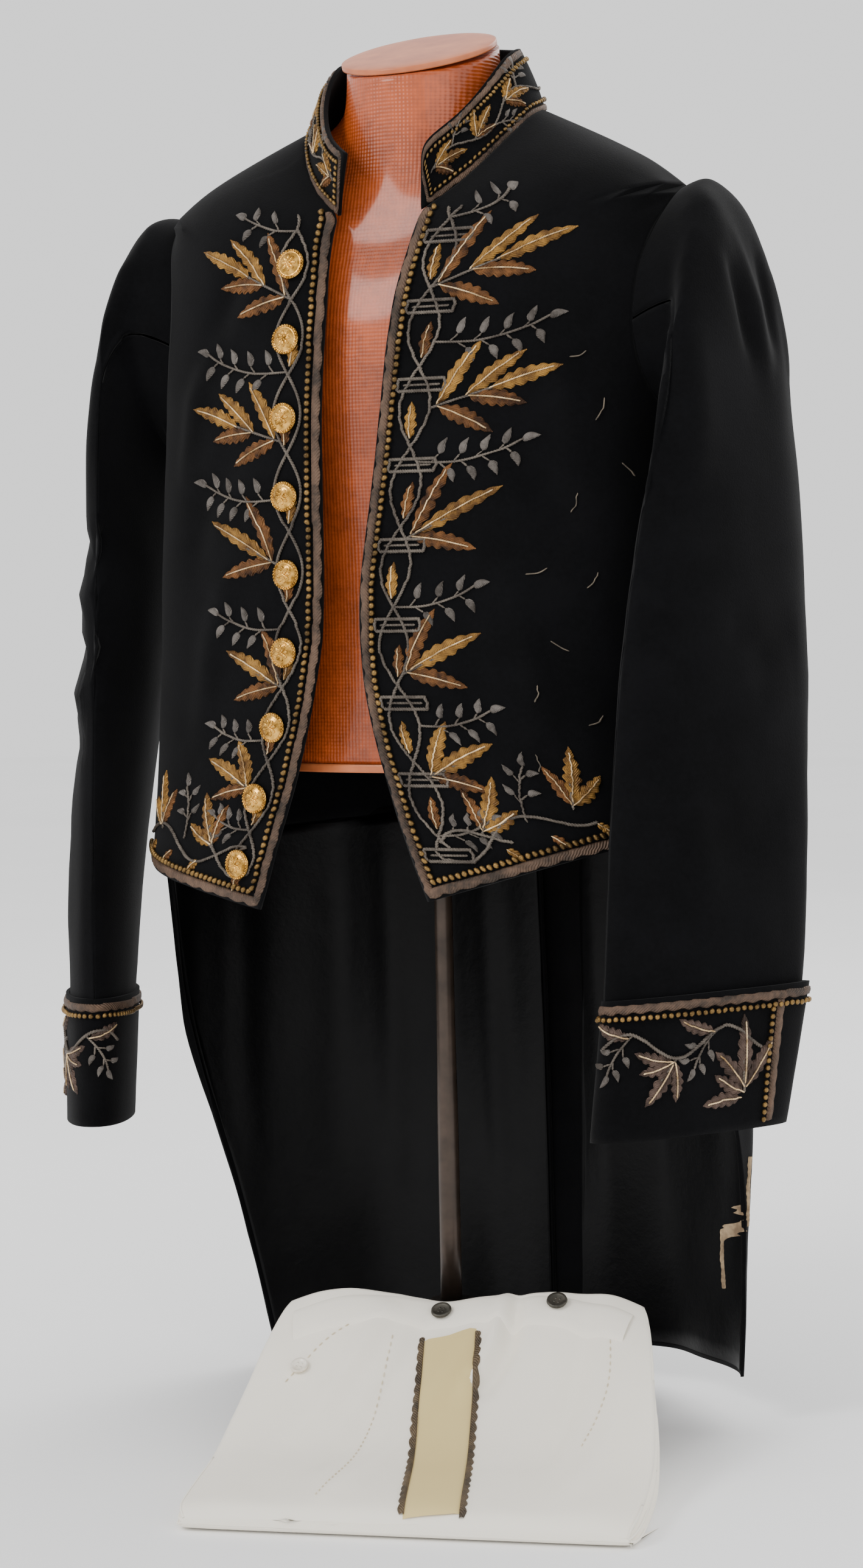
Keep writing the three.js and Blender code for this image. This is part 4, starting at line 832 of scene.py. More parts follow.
def hem_line(
    hits: np.ndarray, seen: np.ndarray, edge: np.ndarray, first: int, heights: np.ndarray
) -> np.ndarray:
    """Finds a front panel's hem.

    Args:
        hits: Positions on the panel, a row a height.
        seen: Where rays found the panel.
        edge: Each row's column at the front edge.
        first: The panel's first row.
        heights: The rows' heights.

    Returns:
        Points of distance from the front edge and height, as far as the side seam.
    """
    lowest = np.argmax(seen, axis=0)
    hem = []
    for k in range(int(edge[first]), seen.shape[1]):
        j = int(lowest[k])
        if seen[j, k] and edge[j] <= k:
            hem.append((float(travelled(hits[j, edge[j] : k + 1])[-1]), heights[j]))
    gone, height = np.array(sorted(hem)).T
    height = np.convolve(np.pad(height, 6, mode="edge"), np.ones(13) / 13, mode="valid")
    steep = np.gradient(height) > 1.1 * np.maximum(np.gradient(gone), 0.05)
    steep &= gone > 60
    last = max(int(np.argmax(steep)) - 6, 8) if steep.any() else len(gone)
    return np.stack([gone, height], axis=1)[:last]


@dataclass
class FrontChart:
    """The chart of a coat front.

    Attributes:
        chart: Its flat coordinates are distance from the front edge and height.
        top_z: The height at which its front edge ends.
        hem: Points of the hem, as distance from the front edge and height.
    """

    chart: Chart
    top_z: float
    hem: np.ndarray

    @classmethod
    def of(cls, mesh: bpy.types.Mesh, side: int) -> "FrontChart":
        """Reads a front panel's outer face.

        Args:
            mesh: The front panel.
            side: 1 for the wearer's left.

        Returns:
            The chart.
        """
        heights = np.arange(366.0, 872.0, CHART_RISE)
        hits = ray_hits(mesh, side, heights, np.radians(np.arange(-24.0, 100.0, 0.5)))
        seen = ~np.isnan(hits[:, :, 0])
        edge, first, top = front_edge(seen, heights)
        hits = carried_on(hits, seen, first)
        wanted = np.arange(-CHART_LEAD, 270.0, CHART_STEP)
        rows = []
        for row, column in zip(hits, edge):
            row = row[column:]
            rows.append(resampled(row[~np.isnan(row[:, 0])], wanted))
        start, pitch = (-CHART_LEAD, heights[0]), (CHART_STEP, CHART_RISE)
        chart = Chart.from_rows(np.array(rows), start, pitch, float(side))
        log.info("front edge runs from %.0f to %.0f mm", heights[first], heights[top])
        return cls(chart, float(heights[top - 1]), hem_line(hits, seen, edge, first, heights))

    def hem_z(self, along: float) -> float:
        """Returns the hem's height at a distance from the front edge."""
        return float(np.interp(along, self.hem[:, 0], self.hem[:, 1]))

    def inset(self, distance: float, last: float, pitch: float) -> np.ndarray:
        """Returns the line that runs down inside the front edge and back inside the hem.

        Args:
            distance: How far inside, in millimetres.
            last: How far along the hem it runs.
            pitch: The spacing of its points.

        Returns:
            Flat points, evenly spaced.
        """
        slope = (self.hem_z(60.0) - self.hem_z(10.0)) / 50.0
        rise = distance * math.hypot(1.0, slope)
        down = [(distance, float(z)) for z in np.arange(self.top_z, self.hem_z(distance) + rise, -2.0)]
        back = [(float(x), self.hem_z(float(x)) + rise) for x in np.arange(distance, last, 2.0)]
        return evenly(np.array(down + back), pitch)


# ---------------------------------------------------------------- flat work
class Flatwork:
    """Gathers sewn-on shapes in a flat frame: along, up and height, in millimetres."""

    def __init__(self) -> None:
        """Starts with nothing in it."""
        self.bm = bmesh.new()
        self.uv = self.bm.loops.layers.uv.new("UVMap")

    def patch(self, columns: int, rows: int, shape: Shape) -> list[bmesh.types.BMVert]:
        """Adds a grid that a rule bends into shape.

        Args:
            columns: Divisions along.
            rows: Divisions across.
            shape: Takes a share along (0 to 1) and across (-1 to 1) and returns a point and a UV, in mm.

        Returns:
            The new points.
        """
        made = bmesh.ops.create_grid(self.bm, x_segments=columns, y_segments=rows, size=1.0)["verts"]
        spots = {}
        for vert in made:
            point, spot = shape((vert.co.x + 1) / 2, vert.co.y)
            vert.co = point
            spots[vert] = spot
        for face in {f for v in made for f in v.link_faces}:
            for loop in face.loops:
                spot = spots[loop.vert]
                loop[self.uv].uv = (spot[0] * MM, spot[1] * MM)
        return made

    def leaf(self, foot: Flat, angle: float, length: float, width: float, lobes: int, bend: float) -> None:
        """Adds a padded lobed leaf, raised along its middle and low at its edge.

        Args:
            foot: Where it starts.
            angle: Its direction in radians.
            length: Its length.
            width: Its full width.
            lobes: How many lobes a side has.
            bend: How far its middle bows to its left.
        """

        def shape(s: float, t: float) -> tuple[Point, Flat]:
            """Bends one point of the leaf's grid.

            Args:
                s: Share of the way along, from 0 to 1.
                t: Share of the way across, from -1 to 1.

            Returns:
                Its place, and its place in the finish's pattern.
            """
            swell = math.sin(math.pi * min(1.0, 0.04 + 0.96 * s) ** 0.8) ** 0.7 if 0 < s < 1 else 0.0
            notch = 0.60 + 0.40 * abs(math.sin(math.pi * (lobes * s + 0.15))) ** 0.8
            half = width / 2 * max(0.06, swell * (1 - (1 - notch) * abs(t) ** 0.5))
            x = length * (s + 0.09 * abs(t) * (1 - s))
            y = t * half + bend * math.sin(math.pi * s)
            edge = max(0.0, 1 - abs(t) ** 2.4) ** 0.5
            groove = 0.5 * math.exp(-((t / 0.16) ** 2))
            high = 0.25 + (1.9 * edge * notch - groove) * min(1.0, 5 * s, 4 * (1 - s) + 0.2)
            if abs(t) > 0.999:
                high = SUNK
            return (*reached(foot, angle, x, y), high), (x - 0.8 * abs(y), abs(y))

        self.patch(30, 8, shape)

    def tube(self, path: np.ndarray, radius: float, height: float, sides: int = 6, twist: float = 0.0,
             beaded: float = 0.0) -> None:
        """Adds a round cord along a path.

        Args:
            path: Flat points.
            radius: Its radius.
            height: Height of its middle above the cloth.
            sides: Facets round it.
            twist: Length of one turn of a two-ply twist, or 0.
            beaded: Spacing of the beads of a purl, or 0.
        """
        ahead, gone, last = headings(path), travelled(path), len(path) - 1

        def shape(s: float, t: float) -> tuple[Point, Flat]:
            """Rolls one point of the cord's grid round its middle line.

            Args:
                s: Share of the way along, from 0 to 1.
                t: Share of the way across, from -1 to 1.

            Returns:
                Its place, and its place in the finish's pattern.
            """
            k = int(round(s * last))
            turn = math.pi * (t + 1)
            size = radius
            if twist:
                size *= 1 + 0.24 * math.cos(2 * (turn - math.tau * gone[k] / twist))
            if beaded:
                size *= 0.82 + 0.3 * abs(math.cos(math.pi * gone[k] / beaded))
            if k in (0, last):
                size *= 0.25
            side = math.cos(turn) * size
            x = path[k][0] - ahead[k][1] * side
            y = path[k][1] + ahead[k][0] * side
            return (x, y, height + math.sin(turn) * size), (gone[k], turn * radius)

        made = self.patch(last, sides, shape)
        bmesh.ops.remove_doubles(self.bm, verts=made, dist=0.001)

    def bud(self, foot: Flat, angle: float, length: float, width: float) -> None:
        """Adds a drop-shaped padded laurel bud.

        Args:
            foot: Where it starts.
            angle: Its direction in radians.
            length: Its length.
            width: Its full width.
        """

        def shape(s: float, t: float) -> tuple[Point, Flat]:
            """Bends one point of the bud's grid.

            Args:
                s: Share of the way along, from 0 to 1.
                t: Share of the way across, from -1 to 1.

            Returns:
                Its place, and its place in the finish's pattern.
            """
            half = width / 2 * (math.sin(math.pi * s**0.62) ** 0.8 if 0 < s < 1 else 0.02)
            x, y = length * s, t * half + 0.9 * math.sin(math.pi * s)
            high = 0.3 + 1.7 * max(0.0, 1 - t * t) ** 0.5 * math.sin(math.pi * (0.08 + 0.84 * s))
            return (*reached(foot, angle, x, y), SUNK if abs(t) > 0.999 else high), (x - y, y)

        self.patch(9, 6, shape)

    def beads(self, spots: np.ndarray, diameter: float, height: float) -> None:
        """Adds a row of round beads, a little flattened where they sit.

        Args:
            spots: Their flat places.
            diameter: Their width.
            height: Height of their middles above the cloth.
        """
        for x, y in spots:
            ball = bmesh.ops.create_uvsphere(self.bm, u_segments=8, v_segments=6, radius=diameter / 2)
            made = ball["verts"]
            bmesh.ops.scale(self.bm, verts=made, vec=(1, 1, 0.85))
            bmesh.ops.translate(self.bm, verts=made, vec=(x, y, height))

    def ribbon(self, path: np.ndarray, outer: Callable[[float], float], inner: Callable[[float], float],
               high: float) -> None:
        """Adds a flat braid along a path, domed across.

        Args:
            path: Flat points of its middle line.
            outer: Takes a distance and returns how far its outer edge is from the middle.
            inner: The same for its inner edge.
            high: Its height.
        """
        ahead, gone, last = headings(path), travelled(path), len(path) - 1

        def shape(s: float, t: float) -> tuple[Point, Flat]:
            """Bends one point of the braid's grid.

            Args:
                s: Share of the way along, from 0 to 1.
                t: Share of the way across, from -1 to 1.

            Returns:
                Its place, and its place in the finish's pattern.
            """
            k = int(round(s * last))
            off = t * inner(gone[k]) if t > 0 else t * outer(gone[k])
            groove = 0.5 * math.exp(-(((abs(t) - 0.45) / 0.12) ** 2)) * 0.6
            rise = high * max(0.0, 1 - abs(t) ** 3.0) ** 0.5 - groove
            if abs(t) > 0.999:
                rise = SUNK
            x = path[k][0] - ahead[k][1] * off
            y = path[k][1] + ahead[k][0] * off
            return (x, y, 0.25 + rise), (gone[k], off)

        self.patch(last, 8, shape)

    def settle(self, place: Callable[[np.ndarray], np.ndarray]) -> None:
        """Moves all of it to where a rule puts it, which is given in millimetres.

        Args:
            place: Takes flat points and returns their places.
        """
        verts = list(self.bm.verts)
        flat = np.array([v.co for v in verts], float).reshape(-1, 3)
        for vert, spot in zip(verts, place(flat) * MM):
            vert.co = spot

    def lay(self, chart: Chart, name: str, finish: Finish) -> bpy.types.Object:
        """Lays all of it on the cloth and makes it an object.

        Args:
            chart: The cloth's chart.
            name: The object's name.
            finish: Its finish.

        Returns:
            The new object.
        """
        self.settle(chart.place)
        inside = [chart.start[0] + chart.pitch[0] * 5, chart.start[1] + chart.pitch[1] * 5, 0]
        frame = chart.place(np.array([[0, 0, 0], [1, 0, 0], [0, 1, 0], [0, 0, 1]], float) + inside)
        if np.linalg.det(frame[1:] - frame[0]) < 0:
            bmesh.ops.reverse_faces(self.bm, faces=self.bm.faces)
        return object_from(self.bm, name, finish)


class Twig(Enum):
    """The two plants of the goldwork."""

    OAK = "oak leaves with purl ribs"
    LAUREL = "laurel buds on stalks"


@dataclass
class Sprays:
    """The oak and laurel work of one cloth, gathered by finish."""

    oak: Flatwork
    bright: Flatwork
    laurel: Flatwork
    cords: Flatwork
    purl: Flatwork

    @classmethod
    def empty(cls) -> "Sprays":
        """Returns a set with nothing in it."""
        return cls(*(Flatwork() for _ in range(5)))

    def rib(self, foot: Flat, angle: float, length: float, bend: float) -> None:
        """Adds the bright double purl along a leaf's middle.

        Args:
            foot: Where it starts.
            angle: Its direction in radians.
            length: The leaf's length.
            bend: How far its middle bows out.
        """
        points = [
            reached(foot, angle, length * s, bend * math.sin(math.pi * s)) for s in np.linspace(0.02, 0.9, 30)
        ]
        self.purl.tube(evenly(points, 0.6), 0.55, 2.05, 6, beaded=1.7)

    def leaf(self, foot: Flat, angle: float, length: float, lobes: int = 4, bright: bool = False,
             bend: float = 1.0) -> None:
        """Adds one leaf with its rib."""
        work = self.bright if bright else self.oak
        work.leaf(foot, angle, length, min(13.0, 4.5 + length * 0.22), lobes, bend)
        self.rib(foot, angle, length, bend)

    def oak_spray(self, foot: Flat, angle: float, flip: int, reach: float, leaves: int,
                  bright: float) -> None:
        """Adds a fan of oak leaves on one stem.

        Args:
            foot: The stem's foot.
            angle: Its direction in degrees.
            flip: 1 or -1, the side that its first leaf is on.
            reach: From its foot to its furthest tip.
            leaves: How many leaves it has, 3 or 5.
            bright: From 0 to 1, how many of its leaves are bright.
        """
        table = {
            5: ((0.46, 1, 0.56), (0.28, 22, 0.54), (0.06, 42, 0.56), (0.30, -24, 0.46), (0.06, -40, 0.50)),
            3: ((0.10, 3, 0.88), (0.06, 40, 0.72), (0.06, -36, 0.66)),
        }[leaves]
        main = math.radians(angle)
        self.cords.tube(curved([foot, reached(foot, main, reach * 0.5)], 0.9), 0.9, 0.9, twist=PLY_TURN)
        for k, (share, spread, size) in enumerate(table):
            at, turn = reached(foot, main, reach * share), main + math.radians(spread) * flip
            self.leaf(at, turn, reach * size, 6 if size * reach > 36 else 5, k / leaves < bright, 1.2 * flip)

    def laurel_spray(self, foot: Flat, angle: float, flip: int, reach: float, pairs: int) -> None:
        """Adds a laurel sprig with buds on short stalks either side.

        Args:
            foot: The stem's foot.
            angle: Its direction in degrees.
            flip: 1 or -1, the way that it bows.
            reach: The stem's length.
            pairs: Pairs of buds.
        """
        main = math.radians(angle)

        def on_stem(s: float) -> Flat:
            """Returns a point on the bowed stem."""
            return reached(foot, main, reach * s, flip * reach * 0.09 * math.sin(math.pi * s))

        self.cords.tube(curved([on_stem(s) for s in (0, 0.35, 0.7, 0.92)], 0.9), 0.8, 0.9, twist=PLY_TURN)
        bud = min(11.5, 6.0 + reach * 0.08)
        self.laurel.bud(on_stem(0.9), main, bud * 1.1, bud * 0.52)
        for k in range(pairs):
            share = 0.86 * (k + 1.0) / (pairs + 0.55)
            for hand in (1, -1):
                root = on_stem(share - (0.06 if hand > 0 else 0.0))
                lean = main + hand * math.radians(34 if hand > 0 else 44)
                end = reached(root, lean, 5.0 + 3.0 * (1 - share))
                self.cords.tube(curved([root, end], 1.0), 0.62, 0.8, twist=3.2)
                self.laurel.bud(end, lean + hand * math.radians(24), bud, bud * 0.52)

    def grow(self, twig: Twig, foot: Flat, angle: float, flip: int, reach: float, size: int,
             bright: float = 0.4) -> None:
        """Adds a spray of oak with size leaves, or a sprig of laurel with size pairs of buds.

        Args:
            twig: Which plant.
            foot: The stem's foot.
            angle: Its direction in degrees.
            flip: 1 or -1, the side that it starts on.
            reach: Its whole length.
            size: Leaves of oak, or pairs of buds.
            bright: From 0 to 1, how many of the leaves are bright.
        """
        if twig is Twig.OAK:
            self.oak_spray(foot, angle, flip, reach, size, bright)
        else:
            self.laurel_spray(foot, angle, flip, reach, size)

    def lay(self, chart: Chart, name: str, *nodes: str, leaves: Finish = OAK) -> None:
        """Lays every finish on the cloth as its own piece.

        Args:
            chart: The cloth's chart.
            name: What its name starts with.
            nodes: The solids that it replaces.
            leaves: The finish of its leaves.
        """
        parts = (
            ("oak", self.oak, leaves),
            ("oak_bright", self.bright, OAK_BRIGHT if leaves is OAK else leaves),
            ("laurel", self.laurel, LAUREL),
            ("cords", self.cords, CORD),
            ("purl", self.purl, PURL),
        )
        for part, work, finish in parts:
            if len(work.bm.verts):
                add_piece(work.lay(chart, f"{name}_{part}", finish), "oak_gold", *nodes)
                nodes = ()
            else:
                work.bm.free()


@dataclass
class BandChart:
    """The chart of a collar or a cuff.

    Attributes:
        chart: Its flat coordinates are distance along the band and height above its lower edge.
        length: The distance along its middle.
        turns: The bearing in degrees at each column of the chart.
    """

    chart: Chart
    length: float
    turns: np.ndarray

    @classmethod
    def of(cls, mesh: bpy.types.Mesh, side: int, origin: Point, axis: Point, span: Flat, height: float,
           share: float = 0.8) -> "BandChart":
        """Reads a band's outer face by rays towards its axis.

        Args:
            mesh: The band.
            side: 1 for the wearer's left.
            origin: A point on its axis.
            axis: Its direction.
            span: First and last bearing to look at, in degrees from the front.
            height: Its height in millimetres.
            share: The least share of that height that a column must show.

        Returns:
            The chart.
        """
        tree = tree_of(mesh)
        up = Vector(axis).normalized()
        front = (Vector((0, -1, 0)) - up * up.dot(Vector((0, -1, 0)))).normalized()
        aside = up.cross(front) if side * up.cross(front).x > 0 else front.cross(up)
        reach, core = 130.0, 12.0
        levels = np.linspace(0.02, 0.98, BAND_LEVELS + 1)
        columns, turns = [], []

        def hit(turn: float, high: float) -> np.ndarray | None:
            """Returns where a ray meets the outer face.

            Args:
                turn: The ray's direction in radians, from the front.
                high: Its height, in millimetres.

            Returns:
                The position there, or None where it misses.
            """
            out = front * math.cos(turn) + aside * math.sin(turn)
            start = Vector(origin) + up * high + out * reach
            found = tree.ray_cast(start * MM, -out, (reach - core) * MM)[0]
            return np.array(found) / MM if found else None

        for turn in np.radians(np.arange(span[0], span[1] + 0.1, 1.5)):
            seen = [h for h in np.arange(-80.0, 80.0, 1.0) if hit(turn, float(h)) is not None]
            if len(seen) < share * height:
                continue
            column = [hit(turn, float(h)) for h in seen[0] + levels * (seen[-1] - seen[0])]
            if all(p is not None for p in column):
                columns.append(column)
                turns.append(math.degrees(turn))
        grid = np.array(columns).transpose(1, 0, 2)
        gone = travelled(grid[BAND_LEVELS // 2])
        wanted = np.arange(0.0, gone[-1], CHART_RISE)
        rows = np.stack([read_off(row, gone, wanted) for row in grid])
        chart = Chart.from_rows(rows, (0.0, 0.0), (CHART_RISE, height / BAND_LEVELS), 1.0)
        middle = rows[BAND_LEVELS // 2]
        if np.einsum("ij,ij->", chart.facing[BAND_LEVELS // 2], middle - middle.mean(axis=0)) < 0:
            chart.facing = -chart.facing
        return cls(chart, float(wanted[-1]), np.interp(wanted, gone, turns))

    def along_at(self, turn: float) -> float:
        """Returns the distance along at a bearing in degrees."""
        return float(np.interp(turn, self.turns, np.arange(len(self.turns)) * CHART_RISE))


def sew_braid(chart: Chart, node: str, paths: list, outer: Callable[[float], float],
              inner: Callable[[float], float], high: float) -> None:
    """Sews braid on a cloth, in place of its solid.

    Args:
        chart: The cloth's chart.
        node: The solid.
        paths: Flat paths, each evenly spaced.
        outer: The rule of its outer edge.
        inner: The rule of its inner edge.
        high: Its height.
    """
    braid = Flatwork()
    for path in paths:
        braid.ribbon(path, outer, inner, high)
    add_piece(braid.lay(chart, node + "_sewn", BRAID), "braid", node)


def sew_beads(chart: Chart, name: str, paths: list, diameter: float, height: float, *nodes: str) -> None:
    """Sews rows of beads on a cloth, one at each point of some paths.

    Args:
        chart: The cloth's chart.
        name: The piece's name.
        paths: Flat paths, evenly spaced.
        diameter: Their width.
        height: Height of their middles above the cloth.
        nodes: The solids that it replaces.
    """
    row = Flatwork()
    for path in paths:
        row.beads(path, diameter, height)
    add_piece(row.lay(chart, name, BEADS), "beads", *nodes)


@dataclass(frozen=True)
class Vine:
    """The wave of a band's cord.

    Attributes:
        middle: Height of its middle line.
        swing: How far it swings to each side.
        start: Where it starts along the band.
        half_wave: The distance between two crossings of its middle line.
    """

    middle: float
    swing: float
    start: float
    half_wave: float

    def at(self, x: float) -> Flat:
        """Returns its point at a distance along the band."""
        return float(x), self.middle + self.swing * math.sin(math.pi * (x - self.start) / self.half_wave)


# ---------------------------------------------------------------- the coat's cloth
# Folds by side: 1 is the wearer's left.
SLEEVE_FOLDS = {
    1: creases(
        LEFT=(
            (-44, 806, -34, 780, -30, 738, 7, -3.4), (-24, 818, -14, 776, -14, 726, 8, 3.0),
            (2, 814, 6, 780, 2, 742, 7, -3.0), (24, 806, 30, 768, 26, 724, 8, 2.6),
            (-86, 560, -58, 548, -20, 562, 8, -3.0), (-96, 516, -66, 506, -30, 524, 9, 2.6),
            (-118, 440, -90, 424, -56, 440, 10, -2.2), (-126, 372, -98, 356, -66, 372, 9, 2.0),
        ),
        FRONT=(
            (206, 790, 212, 740, 214, 660, 8, -3.2), (224, 770, 230, 700, 228, 640, 9, 2.6),
            (202, 664, 220, 640, 244, 652, 8, -2.6), (200, 604, 220, 584, 250, 598, 7, -3.4),
            (200, 582, 222, 566, 250, 576, 7, 2.8), (202, 556, 224, 544, 254, 552, 7, -3.6),
            (198, 532, 222, 514, 252, 524, 8, 2.6), (206, 500, 226, 488, 250, 500, 9, -2.4),
            (232, 470, 238, 410, 236, 350, 11, 2.2),
        ),
        BACK=(
            (216, 760, 226, 700, 230, 640, 10, -2.6), (210, 610, 232, 596, 252, 612, 9, 2.6),
            (208, 546, 232, 534, 254, 552, 8, -2.8),
        ),
    ),
    -1: creases(
        RIGHT=(
            (-38, 804, -30, 778, -28, 740, 8, -3.0), (-10, 816, -6, 778, -8, 730, 8, 2.8),
            (18, 808, 22, 770, 22, 732, 7, -2.8), (-52, 552, -20, 540, 20, 556, 8, -3.0),
            (-56, 504, -24, 496, 16, 512, 9, 2.4), (-60, 420, -30, 404, 4, 420, 10, -2.2),
        ),
        FRONT=(
            (-206, 788, -210, 742, -214, 676, 8, -3.0), (-222, 760, -230, 704, -240, 640, 9, 2.6),
            (-212, 640, -232, 622, -254, 634, 8, -3.0), (-214, 604, -238, 588, -262, 600, 8, 2.6),
            (-220, 560, -244, 546, -270, 560, 7, -3.4), (-224, 530, -250, 518, -276, 530, 8, 2.8),
            (-236, 496, -256, 480, -280, 494, 8, -2.6), (-262, 460, -270, 400, -268, 330, 11, 2.2),
        ),
        BACK=(
            (-214, 756, -226, 700, -236, 640, 10, -2.6), (-226, 600, -248, 586, -266, 600, 9, 2.6),
            (-232, 540, -254, 528, -276, 544, 8, -2.8),
        ),
    ),
}
BODY_FOLDS = {
    1: creases(
        FRONT=(
            (88, 836, 112, 800, 138, 742, 12, -2.4), (118, 780, 140, 730, 150, 660, 10, 2.6),
            (96, 700, 128, 660, 146, 600, 13, -2.4), (100, 620, 120, 560, 132, 480, 12, 2.6),
            (64, 600, 86, 540, 96, 460, 14, -1.8),
        ),
        LEFT=(
            (-40, 690, -26, 600, -30, 480, 12, -2.6), (0, 690, 10, 610, 6, 480, 12, 2.2),
        ),
        BACK=(
            (120, 800, 96, 700, 84, 560, 13, 2.6), (140, 740, 120, 660, 112, 560, 11, -2.6),
            (30, 840, 48, 740, 40, 620, 15, -2.0), (20, 560, 50, 540, 90, 552, 9, -2.2),
            (16, 528, 52, 512, 100, 520, 9, 2.0),
        ),
    ),
    -1: creases(
        FRONT=(
            (-84, 838, -108, 796, -134, 742, 12, -2.6), (-116, 776, -140, 726, -152, 662, 10, 2.4),
            (-96, 690, -130, 652, -150, 596, 13, -2.4), (-104, 616, -128, 556, -142, 486, 12, 2.4),
        ),
        RIGHT=(
            (-30, 690, -20, 600, -24, 490, 12, -2.4), (12, 690, 22, 606, 18, 490, 12, 2.4),
        ),
        BACK=(
            (-118, 806, -98, 706, -92, 566, 13, 2.4), (-142, 736, -124, 660, -120, 566, 11, -2.6),
            (-34, 836, -54, 736, -50, 626, 15, -2.2), (-24, 566, -60, 548, -104, 560, 9, -2.2),
            (-22, 532, -60, 518, -110, 530, 9, 2.0),
        ),
    ),
}
TAIL_FOLDS = {
    1: creases(
        BACK=(
            (98, 440, 104, 320, 112, 120, 15, 4.2), (62, 450, 66, 330, 74, 120, 13, -4.0),
            (26, 440, 30, 300, 40, 110, 14, 3.6), (-6, 400, -2, 260, 8, 110, 12, -2.8),
        ),
        LEFT=(
            (40, 430, 30, 300, 24, 130, 15, 3.4), (84, 440, 80, 300, 78, 120, 13, -3.2),
        ),
    ),
    -1: creases(
        BACK=(
            (-146, 440, -150, 320, -158, 130, 14, 3.6), (-108, 450, -110, 320, -114, 120, 14, -4.0),
            (-66, 440, -64, 300, -60, 110, 15, 4.0), (-30, 420, -28, 280, -24, 110, 12, -3.0),
        ),
        RIGHT=(
            (30, 430, 40, 300, 46, 130, 15, 3.2), (76, 440, 84, 300, 90, 120, 13, -3.2),
        ),
    ),
}


@dataclass(frozen=True)
class Cloth:
    """One cut piece of cloth, draped.

    Attributes:
        node: Its solid.
        finish: Its cloth.
        width: Width of its flat cut in metres; it is not used.
        length: Length of its flat cut in metres; it is not used.
        area: Area of its flat cut in square metres; it is not used.
        rests_on: What it hangs from; it is not used.
        creases: Its folds.
        swell: Height of its slow unevenness in millimetres.
        levels: How many times its mesh is divided.
        held: How it is held; it is not used.
        rise: How far it is moved up, or down if negative, to close its seam, in millimetres.
    """

    node: str
    finish: Finish
    width: float
    length: float
    area: float
    rests_on: tuple[str, ...]
    creases: tuple[Crease, ...] = ()
    swell: float = 0.9
    levels: int = 3
    held: str = "hung"
    rise: float = 0.0

    def build(self) -> bpy.types.Mesh:
        """Makes the piece and returns its mesh."""
        mesh = smoothed(self.node, self.levels)
        drape(mesh, self.creases, self.swell)
        set_points(mesh, points_of(mesh) + np.array([0.0, 0.0, self.rise]))
        piece = dressed(mesh, self.node + "_cloth", self.finish)
        add_piece(piece, self.finish.slot, self.node)
        return mesh


# Areas in square metres of each half's front, back and tail lining. The halves differ, as the coat hangs
# twisted.
CUT_AREAS = {1: (0.1004, 0.1135, 0.0945), -1: (0.1043, 0.1167, 0.1114)}
# Sprays of each front, from the collar down: height of the foot, plant, lean in degrees, reach, and
# leaves of oak or pairs of laurel buds.
FRONT_SPRAYS = {
    1: (
        (838, Twig.LAUREL, 24, 52, 2), (791, Twig.OAK, 22, 96, 5), (755, Twig.LAUREL, 12.5, 86, 4),
        (711, Twig.OAK, 16, 90, 5), (676, Twig.LAUREL, 12, 80, 4), (625, Twig.OAK, 25, 74, 3),
        (580, Twig.LAUREL, 14, 66, 3), (535, Twig.OAK, 22, 66, 3), (501, Twig.LAUREL, 12, 58, 3),
        (466, Twig.OAK, 21, 58, 3), (428, Twig.LAUREL, 16, 46, 3),
    ),
    -1: (
        (836, Twig.LAUREL, 18, 48, 2), (789, Twig.OAK, 25, 88, 5), (740, Twig.LAUREL, 14, 82, 4),
        (693, Twig.OAK, 17, 84, 5), (654, Twig.LAUREL, 12, 74, 4), (610, Twig.OAK, 24, 70, 3),
        (566, Twig.LAUREL, 13, 62, 3), (526, Twig.OAK, 22, 62, 3), (490, Twig.LAUREL, 12, 54, 3),
        (456, Twig.OAK, 21, 52, 3), (428, Twig.LAUREL, 16, 42, 3),
    ),
}
# Loose threads of the left front: distance from its edge, height, lean in degrees, length.
LOOSE_THREADS = (
    (150, 700, 70, 16), (128, 742, 20, 12), (172, 672, -40, 14), (142, 640, 80, 13), (118, 600, 15, 15),
    (160, 590, 60, 12), (136, 556, -30, 14), (120, 516, 70, 12), (152, 500, 30, 13), (110, 470, 80, 12),
)


